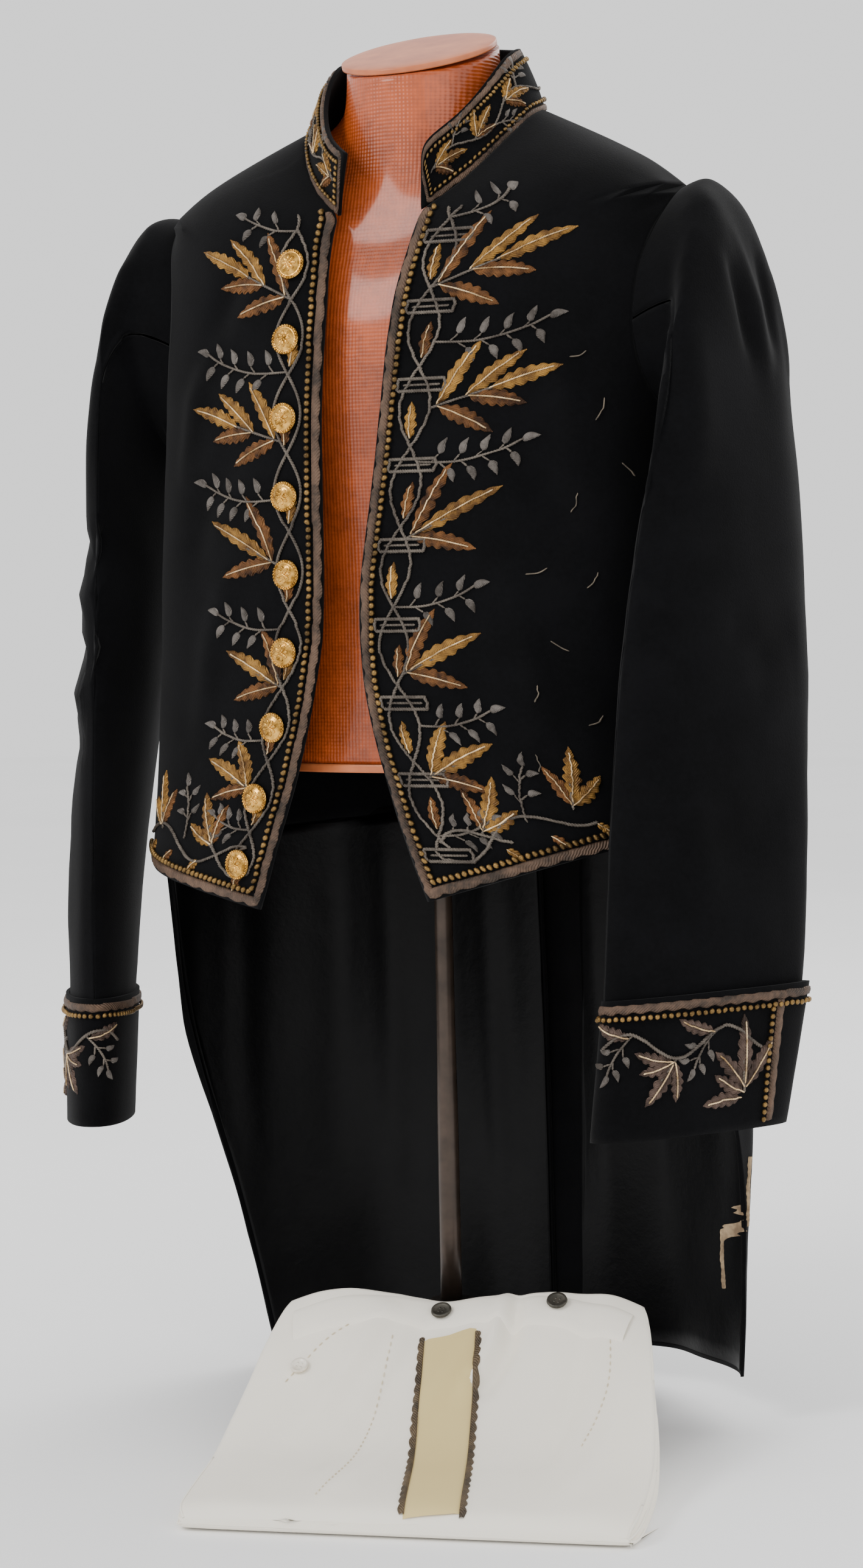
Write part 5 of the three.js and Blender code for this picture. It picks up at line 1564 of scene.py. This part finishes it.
@dataclass
class Coat:
    """The tailcoat: its cloth, its goldwork and its buttons.

    Attributes:
        cord_middle: How far inside the edge the crossing cords run, in millimetres.
        cord_swing: How far they swing to each side.
        hem_swing: The same along the hem.
        hem_wave: The distance between their crossings along the hem.
        slit: Inner end, outer end and half height of a buttonhole's outline.
        button_diameter: Width of a gilt button.
        rope_turns: Strands in its rope rim.
    """

    cord_middle: float = 26.0
    cord_swing: float = 11.0
    hem_swing: float = 8.0
    hem_wave: float = 46.0
    slit: Point = (12.0, 45.0, 4.0)
    button_diameter: float = 21.0
    rope_turns: int = 30

    def build(self) -> None:
        """Builds the whole coat."""
        for label, side in SIDES.items():
            self._half(label, side)

    def _half(self, label: str, side: int) -> None:
        """Builds one half of the coat.

        Args:
            label: left or right, for the wearer.
            side: 1 for the wearer's left.
        """
        body, arm, tail = BODY_FOLDS[side], SLEEVE_FOLDS[side], TAIL_FOLDS[side]
        form, back = ("form_torso",), (f"coat_back_{label}",)
        sleeve, skirt = (f"sleeve_top_{label}",), (f"tail_{label}",)
        front_area, back_area, lining_area = CUT_AREAS[side]
        front = Cloth(f"coat_front_{label}", WOOL, 0.27, 0.56, front_area, form, body).build()
        Cloth(f"coat_back_{label}", WOOL, 0.25, 0.52, back_area, form, body).build()
        Cloth(f"coat_side_{label}", WOOL, 0.09, 0.31, 0.0204, back, body).build()
        Cloth(f"sleeve_top_{label}", WOOL, 0.22, 0.66, 0.111, back, arm).build()
        Cloth(f"sleeve_under_{label}", WOOL, 0.18, 0.60, 0.089, back, arm).build()
        cuff = Cloth(f"cuff_{label}", WOOL, 0.36, 0.092, 0.0303, sleeve, (), 0.5, 4, "folded").build()
        collar = Cloth(f"collar_{label}", WOOL, 0.23, 0.048, 0.0099, back, (), 0.3, 3, "folded", -1.0).build()
        tail_mesh = Cloth(f"tail_{label}", WOOL, 0.30, 0.44, 0.118, back, tail, rise=3.0).build()
        Cloth(f"tail_lining_{label}", SATIN, 0.29, 0.42, lining_area, skirt, tail, rise=2.0).build()
        if side > 0:
            self._torn_edge(tail_mesh)
        chart = FrontChart.of(front, side)
        self._front_trim(label, side, chart)
        if side > 0:
            self._loose_threads(chart)
        else:
            self._buttons(chart)
        self._collar_trim(label, side, collar)
        self._cuff_trim(label, side, cuff)

    def _torn_edge(self, skirt: bpy.types.Mesh) -> None:
        """Lays a frayed strip of linen interlining that shows at the worn edge of the left tail.

        Args:
            skirt: The tail's draped mesh.
        """
        tree = tree_of(skirt)
        low, near, rise, step, beside = 92.0, 4.0, 4.0, 3.0, 198.0
        heights, depths = np.arange(low, 206.0, rise), np.arange(near, 40.0, step)
        places, facing = np.empty((2, len(heights), len(depths), 3))
        for j, z in enumerate(heights):
            for k, y in enumerate(depths):
                found, normal, _, _ = tree.ray_cast(Vector((0.4, y * MM, z * MM)), Vector((-1, 0, 0)), 0.5)
                places[j, k] = np.array(found) / MM if found else (beside, y, z)
                facing[j, k] = normal if found else (1.0, 0.0, 0.0)
        strip = Flatwork()
        strip.ribbon(
            curved([(20, 196), (18, 172), (21, 150), (19, 128), (22, 102)], 1.2),
            lambda gone: 1.6 + 0.8 * math.sin(gone * 0.37) + 0.5 * math.sin(gone * 1.3),
            lambda gone: 1.5 + 0.7 * math.sin(gone * 0.29 + 1) + 0.6 * math.sin(gone * 1.7),
            1.6,
        )
        chart = Chart(places, facing, (near, low), (step, rise))
        add_piece(strip.lay(chart, "torn_interlining", LINEN), "satin")

    def _loose_threads(self, front: FrontChart) -> None:
        """Adds the short bowed threads that stand on the worn cloth of the left front.

        Args:
            front: The front's chart.
        """
        work = Flatwork()
        for along, z, lean, long in LOOSE_THREADS:
            angle = math.radians(lean)
            bow = reached((along + 1.4, z - 1.2), angle, 0.5 * long)
            work.tube(curved([(along, z), bow, reached((along, z), angle, long)], 0.8), 0.45, 0.7, 5)
        add_piece(work.lay(front.chart, "loose_threads", THREAD), "wool")

    # ------------------------------------------------------------ front trims
    def _front_trim(self, label: str, side: int, front: FrontChart) -> None:
        """Sews braid, beads, cords, leaves and buttonholes on a front.

        Args:
            label: left or right, for the wearer.
            side: 1 for the wearer's left.
            front: The front's chart.
        """
        last = float(front.hem[-1, 0])
        log.info("front_%s: hem runs %.0f mm", label, last)
        braid = [front.inset(3.9, last, 1.3)]
        sew_braid(front.chart, f"front_braid_{label}", braid, edge_width(2.4, 1.5), edge_width(3.0), 1.5)
        row = [front.inset(BEAD_INSET, last, BEAD_PITCH)]
        sew_beads(front.chart, f"front_beads_{label}", row, BEAD_DIAMETER, 1.9, f"front_beading_{label}")
        work = Sprays.empty()
        crossings = [z + 12.0 for z in BUTTONHOLE_Z] if side > 0 else [z - 24.0 for z in BUTTON_Z]
        self._cords(work, front, crossings, last)
        self._lens_leaves(work, crossings)
        self._sprays(work, side, crossings)
        self._hem(work, front, last)
        if side > 0:
            for z in BUTTONHOLE_Z:
                self._buttonhole(work, z)
        work.lay(front.chart, f"front_{label}", f"front_embroidery_{label}")

    def _swing(self, z: float, crossings: list[float]) -> float:
        """Returns how many crossings lie above a height, with a share of the next."""
        heights = [crossings[0] + 48.0, *crossings, crossings[-1] - 50.0]
        return float(np.interp(-z, [-h for h in heights], range(len(heights))))

    def _cord_x(self, z: float, crossings: list[float]) -> float:
        """Returns how far in the inner of the two cords is at a height."""
        return self.cord_middle + self.cord_swing * abs(math.sin(math.pi * self._swing(z, crossings)))

    def _cords(self, work: Sprays, front: FrontChart, crossings: list[float], last: float) -> None:
        """Adds the two sinuous cords that cross down the edge, one of which runs on along the hem.

        Args:
            work: What they are added to.
            front: The front's chart.
            crossings: Heights at which the two cords cross.
            last: How far along the hem the work runs.
        """
        path = front.inset(self.cord_middle, last - 6, 1.0)
        ahead = headings(path)
        turning = int(np.argmax(path[:, 0] > self.cord_middle + 1.0))
        turned_at = self._swing(float(path[turning][1]), crossings)
        for hand in (1, -1):
            line = []
            for k, (x, z) in enumerate(path):
                gone = k - turning
                if gone < 0:
                    swing = self.cord_swing * math.sin(math.pi * self._swing(float(z), crossings))
                elif hand < 0 and gone > 50:
                    break
                else:
                    size = self.cord_swing + (self.hem_swing - self.cord_swing) * min(1.0, gone / 60)
                    swing = size * math.sin(math.pi * (turned_at + gone / self.hem_wave))
                line.append((x - ahead[k][1] * swing * hand, z + ahead[k][0] * swing * hand))
            work.cords.tube(evenly(line, 1.0), 1.05, 1.0, twist=4.2)

    def _lens_leaves(self, work: Sprays, crossings: list[float]) -> None:
        """Adds the small upright leaf in each lens between two crossings."""
        for k, crossing in enumerate(crossings[1:]):
            foot = (self.cord_middle + (1.5 if k % 2 else -1.0), crossing + 5.0)
            work.leaf(foot, math.radians(88 + 5 * (-1) ** k), 25.0 if k < 5 else 22.0, 4, k % 2 == 0, 0.8)

    def _sprays(self, work: Sprays, side: int, crossings: list[float]) -> None:
        """Adds the oak and laurel sprays that grow from the cords across the chest."""
        for k, (z, twig, lean, reach, size) in enumerate(FRONT_SPRAYS[side]):
            foot = (self._cord_x(z, crossings) - 0.6, float(z))
            work.grow(twig, foot, lean, 1 if k % 2 else -1, reach, size, 0.25 if k % 3 else 0.5)

    def _hem(self, work: Sprays, front: FrontChart, last: float) -> None:
        """Adds the sprays of the hem's vine, and the small leaves under it.

        Args:
            work: What they are added to.
            front: The front's chart.
            last: How far along the hem the work runs.
        """
        for k, along in enumerate(np.arange(58.0, last - 18, 33.0)):
            along, z = float(along), front.hem_z(float(along)) + self.cord_middle
            if k % 2:
                work.grow(Twig.LAUREL, (along, z + 4), 74 if k % 4 == 1 else 84, 1, 42, 2)
            else:
                work.grow(Twig.OAK, (along, z + 4), 78 if k % 4 else 66, -1, 44, 3)
            work.leaf((along + 12, z - 5), math.radians(-40), 13.0, 3, k % 2 == 0, 0.4)

    def _buttonhole(self, work: Sprays, z: float) -> None:
        """Adds a buttonhole's outline of twisted cord, and its worked slit.

        Args:
            work: What they are added to.
            z: Its height.
        """
        inner, outer, half = self.slit
        low, high = z - half, z + half
        outline = [(inner, low), (outer, low), (outer + 1.2, z), (outer, high), (inner, high),
                   (inner - 0.6, z), (inner, low)]
        work.cords.tube(evenly(outline, 0.9), 1.15, 1.15, twist=PLY_TURN)
        work.cords.tube(evenly([(inner + 3, z), (outer - 3, z)], 1.0), 0.7, 0.5, twist=2.0)

    # ------------------------------------------------------------ buttons
    def _buttons(self, front: FrontChart) -> None:
        """Places the nine gilt buttons down the right front."""
        for number, z in enumerate(BUTTON_Z, start=1):
            spots = np.array([[BUTTON_INSET, z, BUTTON_SEAT], [BUTTON_INSET, z, BUTTON_SEAT + 1.0]])
            self._button(number, *front.chart.place(spots))

    def _button(self, number: int, foot: np.ndarray, over: np.ndarray) -> None:
        """Makes a domed button with a rope rim and a rosette.

        Args:
            number: Its place from the top.
            foot: Where it is sewn, in millimetres.
            over: A point straight out from there.
        """
        r = self.button_diameter / 2
        bm = bmesh.new()
        profile = ((0.5, 0.0), (0.94, 0.4), (1.0, 1.6), (0.97, 2.6), (0.84, 3.1), (0.82, 2.8), (0.7, 3.9),
                   (0.45, 5.0), (0.2, 5.5))
        turned(bm, [(r * share, z) for share, z in profile], 40)
        for k in range(self.rope_turns):
            made = bmesh.ops.create_icosphere(bm, subdivisions=1, radius=0.95)["verts"]
            bmesh.ops.scale(bm, verts=made, vec=(1.6, 0.8, 0.9))
            bmesh.ops.rotate(bm, verts=made, cent=(0, 0, 0), matrix=Matrix.Rotation(0.9, 3, "Z"))
            bmesh.ops.translate(bm, verts=made, vec=(r * 0.9, 0, 3.0))
            turn = Matrix.Rotation(math.tau * k / self.rope_turns, 3, "Z")
            bmesh.ops.rotate(bm, verts=made, cent=(0, 0, 0), matrix=turn)
        rosette = ((8, 3.4, 1.9, 5.0), (5, 1.6, 1.2, 5.7), (1, 0.0, 1.0, 6.1))
        for ring, (count, far, size, high) in enumerate(rosette):
            for k in range(count):
                made = bmesh.ops.create_icosphere(bm, subdivisions=2, radius=size)["verts"]
                bmesh.ops.scale(bm, verts=made, vec=(1.35, 0.75, 0.5))
                bmesh.ops.translate(bm, verts=made, vec=(far, 0, high))
                turn = Matrix.Rotation(math.tau * (k + 0.5 * ring) / count, 3, "Z")
                bmesh.ops.rotate(bm, verts=made, cent=(0, 0, 0), matrix=turn)
        seat(bm, foot, over)
        add_piece(object_from(bm, f"gilt_button_{number}", GILT), "gilt", f"button_{number}")

    # ------------------------------------------------------------ collar and cuffs
    def _collar_trim(self, label: str, side: int, collar: bpy.types.Mesh) -> None:
        """Sews braid, beads and a vine of small leaves on half of the collar.

        Args:
            label: left or right, for the wearer.
            side: 1 for the wearer's left.
            collar: That half's draped mesh.
        """
        band = BandChart.of(collar, side, (2, -26, 902), (0, -0.42, 0.91), (-30, 186), 46, 0.45)
        log.info("collar_%s: chart from %.0f to %.0f degrees", label, band.turns[0], band.turns[-1])
        long = min(150.0, band.length - 2)
        rim = evenly([(long, 3.0), (6.2, 3.0), (3.0, 6.0), (3.0, 40.0), (6.2, 43.4), (long, 43.4)], 1.3)
        sew_braid(band.chart, f"collar_braid_{label}", [rim], edge_width(2.2), edge_width(2.2, 1.2), 1.3)
        row = evenly([(long, 8.2), (8.2, 8.2), (8.2, 38.2), (long, 38.2)], 4.3)
        sew_beads(band.chart, f"collar_beads_{label}", [row], 3.4, 1.6)
        work, vine = Sprays.empty(), Vine(23, 6.5, 12.0, 36)
        line = [vine.at(x) for x in np.arange(vine.start, long - 4, 1.0)]
        work.cords.tube(evenly(line, 1.0), 0.9, 0.9, twist=PLY_TURN)
        for k, x in enumerate(np.arange(15.0, long - 24, 19.0)):
            if k % 2:
                work.grow(Twig.LAUREL, vine.at(x), 38 if k % 4 == 1 else -34, 1, 22, 2)
            else:
                work.grow(Twig.OAK, vine.at(x), 22 if k % 4 else -14, 1, 31, 3)
        work.lay(band.chart, f"collar_{label}", f"collar_embroidery_{label}")

    def _cuff_trim(self, label: str, side: int, cuff: bpy.types.Mesh) -> None:
        """Sews braid, beads and a vine on a cuff.

        Args:
            label: left or right, for the wearer.
            side: 1 for the wearer's left.
            cuff: The cuff's draped mesh.
        """
        low, high = sleeve_axis(np.array([258.0, 320.0] if side > 0 else [240.0, 300.0]), side)
        band = BandChart.of(cuff, side, tuple(low), tuple(high - low), (-70, 290), 87)
        rear = band.along_at(112)
        edges = ([(band.length, 83.4), (0.0, 83.4)], [(rear, 80.0), (rear, 2.0)])
        braid = [evenly(path, 1.3) for path in edges]
        sew_braid(band.chart, f"cuff_braid_{label}", braid, edge_width(2.4), edge_width(2.6, 1.2, 11.0), 1.4)
        inside = rear - 6.4
        lines = ([(1.0, 77.0), (band.length - 1, 77.0)], [(inside, 74.0), (inside, 3.0)])
        rows = [evenly(path, 4.6) for path in lines]
        sew_beads(band.chart, f"cuff_beads_{label}", rows, 3.7, 1.7)
        work, stop = Sprays.empty(), rear - 12
        vine = Vine(58, 9, band.along_at(-40), 34)
        line = [vine.at(x) for x in np.arange(vine.start, stop, 1.0)]
        work.cords.tube(evenly(line, 1.0), 1.1, 1.1, twist=4.0)
        self._cuff_sprays(work, vine, stop)
        work.lay(band.chart, f"cuff_{label}", f"cuff_embroidery_{label}", leaves=OAK_WORN)

    def _cuff_sprays(self, work: Sprays, vine: Vine, stop: float) -> None:
        """Adds the cuff's leaves, which hang back from its vine, and the tall spray at its rear edge.

        Args:
            work: What they are added to.
            vine: The cord that they grow from.
            stop: Where it stops, at the rear edge.
        """
        for k, x in enumerate(np.arange(stop - 34, vine.start + 8, -29.0)):
            foot = vine.at(x)
            if k % 2:
                work.grow(Twig.OAK, foot, 232, 1, 37, 3, 0.15)
            else:
                work.grow(Twig.LAUREL, foot, 238, -1, 33, 2)
            work.leaf((foot[0] - 2, foot[1] - 2), math.radians(164 if k % 2 else 158), 27, 5, False, 1.6)
        work.grow(Twig.OAK, (stop - 12, 22.0), 96, -1, 52, 3, 0.0)
        work.leaf((stop - 12, 22.0), math.radians(150), 27, 5, False, 1.2)
        work.leaf((stop - 14, 19.0), math.radians(186), 30, 5, False, -1.2)


# ---------------------------------------------------------------- the form and its stand
@dataclass
class DressForm:
    """The limbless dress form, its rim, its pole and its base."""

    finishes: tuple[tuple[str, Finish], ...] = (
        ("form_torso", CANVAS),
        ("form_neck_cap", CAP),
        ("form_rim", CAP),
        ("pole", POLE),
        ("base", IRON),
    )

    def build(self) -> None:
        """Makes a smooth copy of each solid."""
        for node, finish in self.finishes:
            mesh = smoothed(node, 3 if node == "form_torso" else 2)
            add_piece(dressed(mesh, node + "_smooth", finish), finish.slot, node)


# ---------------------------------------------------------------- the folded trousers
@dataclass
class Trousers:
    """The folded cream trousers, lying against the base.

    Attributes:
        origin: Where the packet's frame stands, in millimetres.
        turn: How far it is turned, in radians.
        wall: Thickness of a layer.
        stripe_half: Half width of the gold lace.
        stripe_lean: How far the stripe goes aside for each millimetre along.
        scallop: Length of a picot's scallop.
    """

    origin: Flat = (96.0, -289.1)
    turn: float = math.radians(13.1)
    wall: float = 1.6
    stripe_half: float = 18.8
    stripe_lean: float = -0.13
    scallop: float = 9.0

    def build(self) -> None:
        """Builds the packet and all that is sewn on it."""
        mesh = smoothed("trousers_folded", 3)
        self._press(mesh)
        for name, part, area, size in (
            ("trousers_upper_layers", 1, 0.070, (0.31, 0.27)),
            ("trousers_under_layer", -1, 0.055, (0.29, 0.23)),
        ):
            piece = self._layer(mesh, name, part)
            add_piece(piece, "cream_wool", *(("trousers_folded",) if part > 0 else ()))
        tree = tree_of(mesh)
        self._stripe(tree)
        self._waistband(tree)
        self._buttons(tree)
        self._stitching(tree)

    def _press(self, mesh: bpy.types.Mesh) -> None:
        """Adds the folds of the upper layer.

        Args:
            mesh: The packet's mesh.
        """
        points = points_of(mesh)
        outward = normals_of(mesh)
        folds = creases(
            ABOVE=(
                (40, -280, 52, -190, 64, -90, 9, 3.0), (10, -250, 24, -170, 30, -90, 8, -2.6),
                (-24, -220, -8, -150, 4, -96, 9, 3.2), (150, -200, 146, -140, 136, -70, 9, -2.8),
                (184, -230, 182, -150, 170, -60, 10, 2.8), (86, -150, 92, -110, 84, -70, 6, -4.0),
                (74, -150, 80, -108, 76, -72, 5, 3.2),
            ),
        )
        lift = unevenness(points, 55.0, 1.2) + unevenness(points + 120, 20.0, 0.4)
        for fold in folds:
            lift += 1.3 * fold.lift(points, outward)
        raised = points + outward * (lift * np.clip(outward[:, 2] + 0.35, 0, 1))[:, None]
        raised[:, 2] = np.maximum(raised[:, 2], np.minimum(points[:, 2], 0.3))
        set_points(mesh, raised)

    def _layer(self, mesh: bpy.types.Mesh, name: str, part: int) -> bpy.types.Object:
        """Makes a thin layer of the faces that look up or down.

        Args:
            mesh: The packet's mesh.
            name: The layer's name.
            part: 1 for the faces that look up, -1 for the rest.

        Returns:
            The layer.
        """
        bm = bmesh.new()
        bm.from_mesh(mesh)
        away = [f for f in bm.faces if (f.normal.z > -0.3) != (part > 0)]
        bmesh.ops.delete(bm, geom=away, context="FACES")
        bmesh.ops.solidify(bm, geom=bm.faces[:], thickness=self.wall * MM)
        for vert in bm.verts:
            vert.co.z = max(vert.co.z, 0.0)
        return object_from(bm, name, CREAM)

    def _on_top(self, tree: BVHTree, flat: np.ndarray) -> np.ndarray:
        """Returns where points (across, along, height) lie on the packet, in millimetres.

        Args:
            tree: A search tree of the packet's faces.
            flat: Flat points, one a row.

        Returns:
            Their places.
        """
        made = []
        for u, v, high in flat:
            x, y = reached(self.origin, self.turn, u, v)
            found, normal, _, _ = tree.ray_cast(Vector((x, y, 300)) * MM, Vector((0, 0, -1)), 0.4)
            beside = (x, y, max(2.0 + high, 0.3))
            made.append(beside if found is None else np.array(found) / MM + np.array(normal) * high)
        return np.array(made)

    def _lay(self, work: Flatwork, tree: BVHTree, name: str, finish: Finish, *nodes: str) -> bpy.types.Object:
        """Lays flat work on the packet."""
        work.settle(lambda flat: self._on_top(tree, flat))
        return add_piece(object_from(work.bm, name, finish), finish.slot, *nodes)

    def _stripe(self, tree: BVHTree) -> None:
        """Adds the gold lace stripe with its dark picot edges.

        Args:
            tree: A search tree of the packet's faces.
        """
        step = 1.5
        line = np.array([(19 + self.stripe_lean * v, v) for v in np.arange(4.0, 187.0, step)])
        lace = Flatwork()
        lace.ribbon(line, edge_width(self.stripe_half), edge_width(self.stripe_half), 1.3)
        piece = self._lay(lace, tree, "trouser_stripe_lace", LACE, "trouser_stripe")
        scalloped = edge_width(1.6, 1.7, self.scallop)
        widths = (lambda gone: scalloped(step * min(gone // step, len(line) - 1)), edge_width(1.6))
        edges = Flatwork()
        for hand in (1, -1):
            edges.ribbon(line + np.array([19.0 * hand, 0]), *widths[::hand], 1.5)
        self._lay(edges, tree, "trouser_stripe_picots", PICOT)

    def _waistband(self, tree: BVHTree) -> None:
        """Adds the waistband across the packet's upper end.

        Args:
            tree: A search tree of the packet's faces.
        """
        band = Flatwork()
        line = np.array([(u, 204.0 - 0.0009 * u * u) for u in np.arange(-116.0, 116.1, 2.0)])
        band.ribbon(line, edge_width(11.6), edge_width(11.6), 1.7)
        piece = self._lay(band, tree, "trouser_waistband_cloth", CREAM, "trouser_waistband")

    def _buttons(self, tree: BVHTree) -> None:
        """Adds the two pewter buttons and the pearl one, each with four holes and its thread.

        Args:
            tree: A search tree of the packet's faces.
        """
        spots = (
            ("trouser_button_1", -14, 204, 7.2, 3.0, 2.6, PEWTER),
            ("trouser_button_2", 66, 204, 7.2, 3.0, 2.6, PEWTER),
            ("trouser_pocket_button", -104, 160, 6.2, 2.6, 0.9, PEARL),
        )
        for name, u, v, r, thick, lift, finish in spots:
            foot, over = self._on_top(tree, np.array([(u, v, lift), (u, v, lift + 1)], float))
            bm = bmesh.new()
            dish = ((0.93, 1.0), (0.72, 0.8), (0.6, 0.66), (0.2, 0.64))
            rim = [(r * 0.3, 0.0), (r * 0.9, 0.2), (r, thick * 0.5)]
            turned(bm, rim + [(r * share, thick * high) for share, high in dish], 36)
            for k in range(4):
                hole = bmesh.ops.create_cone(
                    bm, cap_ends=True, segments=10, radius1=0.75, radius2=0.75, depth=0.5
                )
                place = (*reached((0.0, 0.0), math.radians(45 + 90 * k), 2.1), thick * 0.64)
                bmesh.ops.translate(bm, verts=hole["verts"], vec=place)
            seat(bm, foot, over)
            add_piece(object_from(bm, name + "_turned", finish), finish.slot, name)

    def _stitching(self, tree: BVHTree) -> None:
        """Adds the seams' stitches beside the pockets and along the leg.

        Args:
            tree: A search tree of the packet's faces.
        """
        work = Flatwork()
        seams = (
            ((-112, 150), (-92, 176), (-70, 192)),
            ((98, 100), (108, 150), (104, 190)),
            ((-60, 20), (-48, 90), (-44, 186)),
        )
        for seam in seams:
            path = curved(list(seam), 1.0)
            for k in range(0, len(path) - 4, 5):
                work.tube(path[k : k + 4], 0.42, 0.5, 5)
        self._lay(work, tree, "trouser_stitching", BASTING)


# ---------------------------------------------------------------- the studio
@dataclass
class Studio:
    """Camera, floor and soft lights."""

    eye: Point = (965.8, -2086.9, 601.9)
    azimuth: float = 25.0
    pitch: float = 3.70
    roll: float = 1.2
    lens: float = 74.75

    def build(self) -> None:
        """Sets up the camera, the floor, the world and the lights."""
        self._camera()
        self._floor()
        self._world()
        self._lamp("key", (-1.5, -2.6, 2.6), 1.3, 52.0)
        self._lamp("fill", (2.6, -1.9, 1.5), 2.2, 16.0)
        self._lamp("rim", (0.6, 2.4, 2.3), 2.0, 30.0)

    def _camera(self) -> None:
        """Places the camera."""
        a, p, r = (math.radians(v) for v in (self.azimuth, self.pitch, self.roll))
        ahead = Vector((-math.sin(a) * math.cos(p), math.cos(a) * math.cos(p), -math.sin(p)))
        flat_right = Vector((math.cos(a), math.sin(a), 0))
        flat_up = flat_right.cross(ahead)
        right = flat_right * math.cos(r) - flat_up * math.sin(r)
        up = flat_right * math.sin(r) + flat_up * math.cos(r)
        data = bpy.data.cameras.new("camera")
        data.lens = self.lens
        data.sensor_width = 36.0
        data.clip_end = 20
        camera = linked("camera", data)
        place = Matrix((right, up, -ahead)).transposed().to_4x4()
        place.translation = Vector(self.eye) * MM
        camera.matrix_world = place
        bpy.context.scene.camera = camera

    def _floor(self) -> None:
        """Adds the pale floor."""
        bm = bmesh.new()
        bmesh.ops.create_circle(bm, cap_ends=True, segments=96, radius=9.0)
        bmesh.ops.translate(bm, verts=bm.verts, vec=(0, 0, -0.0004))
        floor = object_from(bm, "floor", FLOOR, smooth=False)

    def _world(self) -> None:
        """Makes the world pale."""
        world = bpy.data.worlds.new("pale_world")
        world.use_nodes = True
        sky = world.node_tree.nodes["Background"]
        sky.inputs["Color"].default_value = (1.0, 1.0, 1.0, 1.0)
        sky.inputs["Strength"].default_value = 1.25
        bpy.context.scene.world = world

    def _lamp(self, name: str, place: Point, size: float, power: float) -> None:
        """Adds a large soft lamp that looks at the coat's chest.

        Args:
            name: Its name.
            place: Where it stands, in metres.
            size: Its width.
            power: Its power in watts.
        """
        data = bpy.data.lights.new(name, "AREA")
        data.shape = "DISK"
        data.size = size
        data.energy = power
        lamp = linked(name, data)
        lamp.location = place
        lamp.rotation_euler = (Vector((0, 0, 0.6)) - Vector(place)).to_track_quat("-Z", "Y").to_euler()


def write_sizes() -> None:
    """Updates the view layer.
    """
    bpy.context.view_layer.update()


def main() -> None:
    """Builds every part of the scene in order."""
    logging.basicConfig(level=logging.INFO, format="%(message)s")
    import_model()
    DressForm().build()
    Coat().build()
    Trousers().build()
    Studio().build()
    write_sizes()


if __name__ == "__main__":
    main()
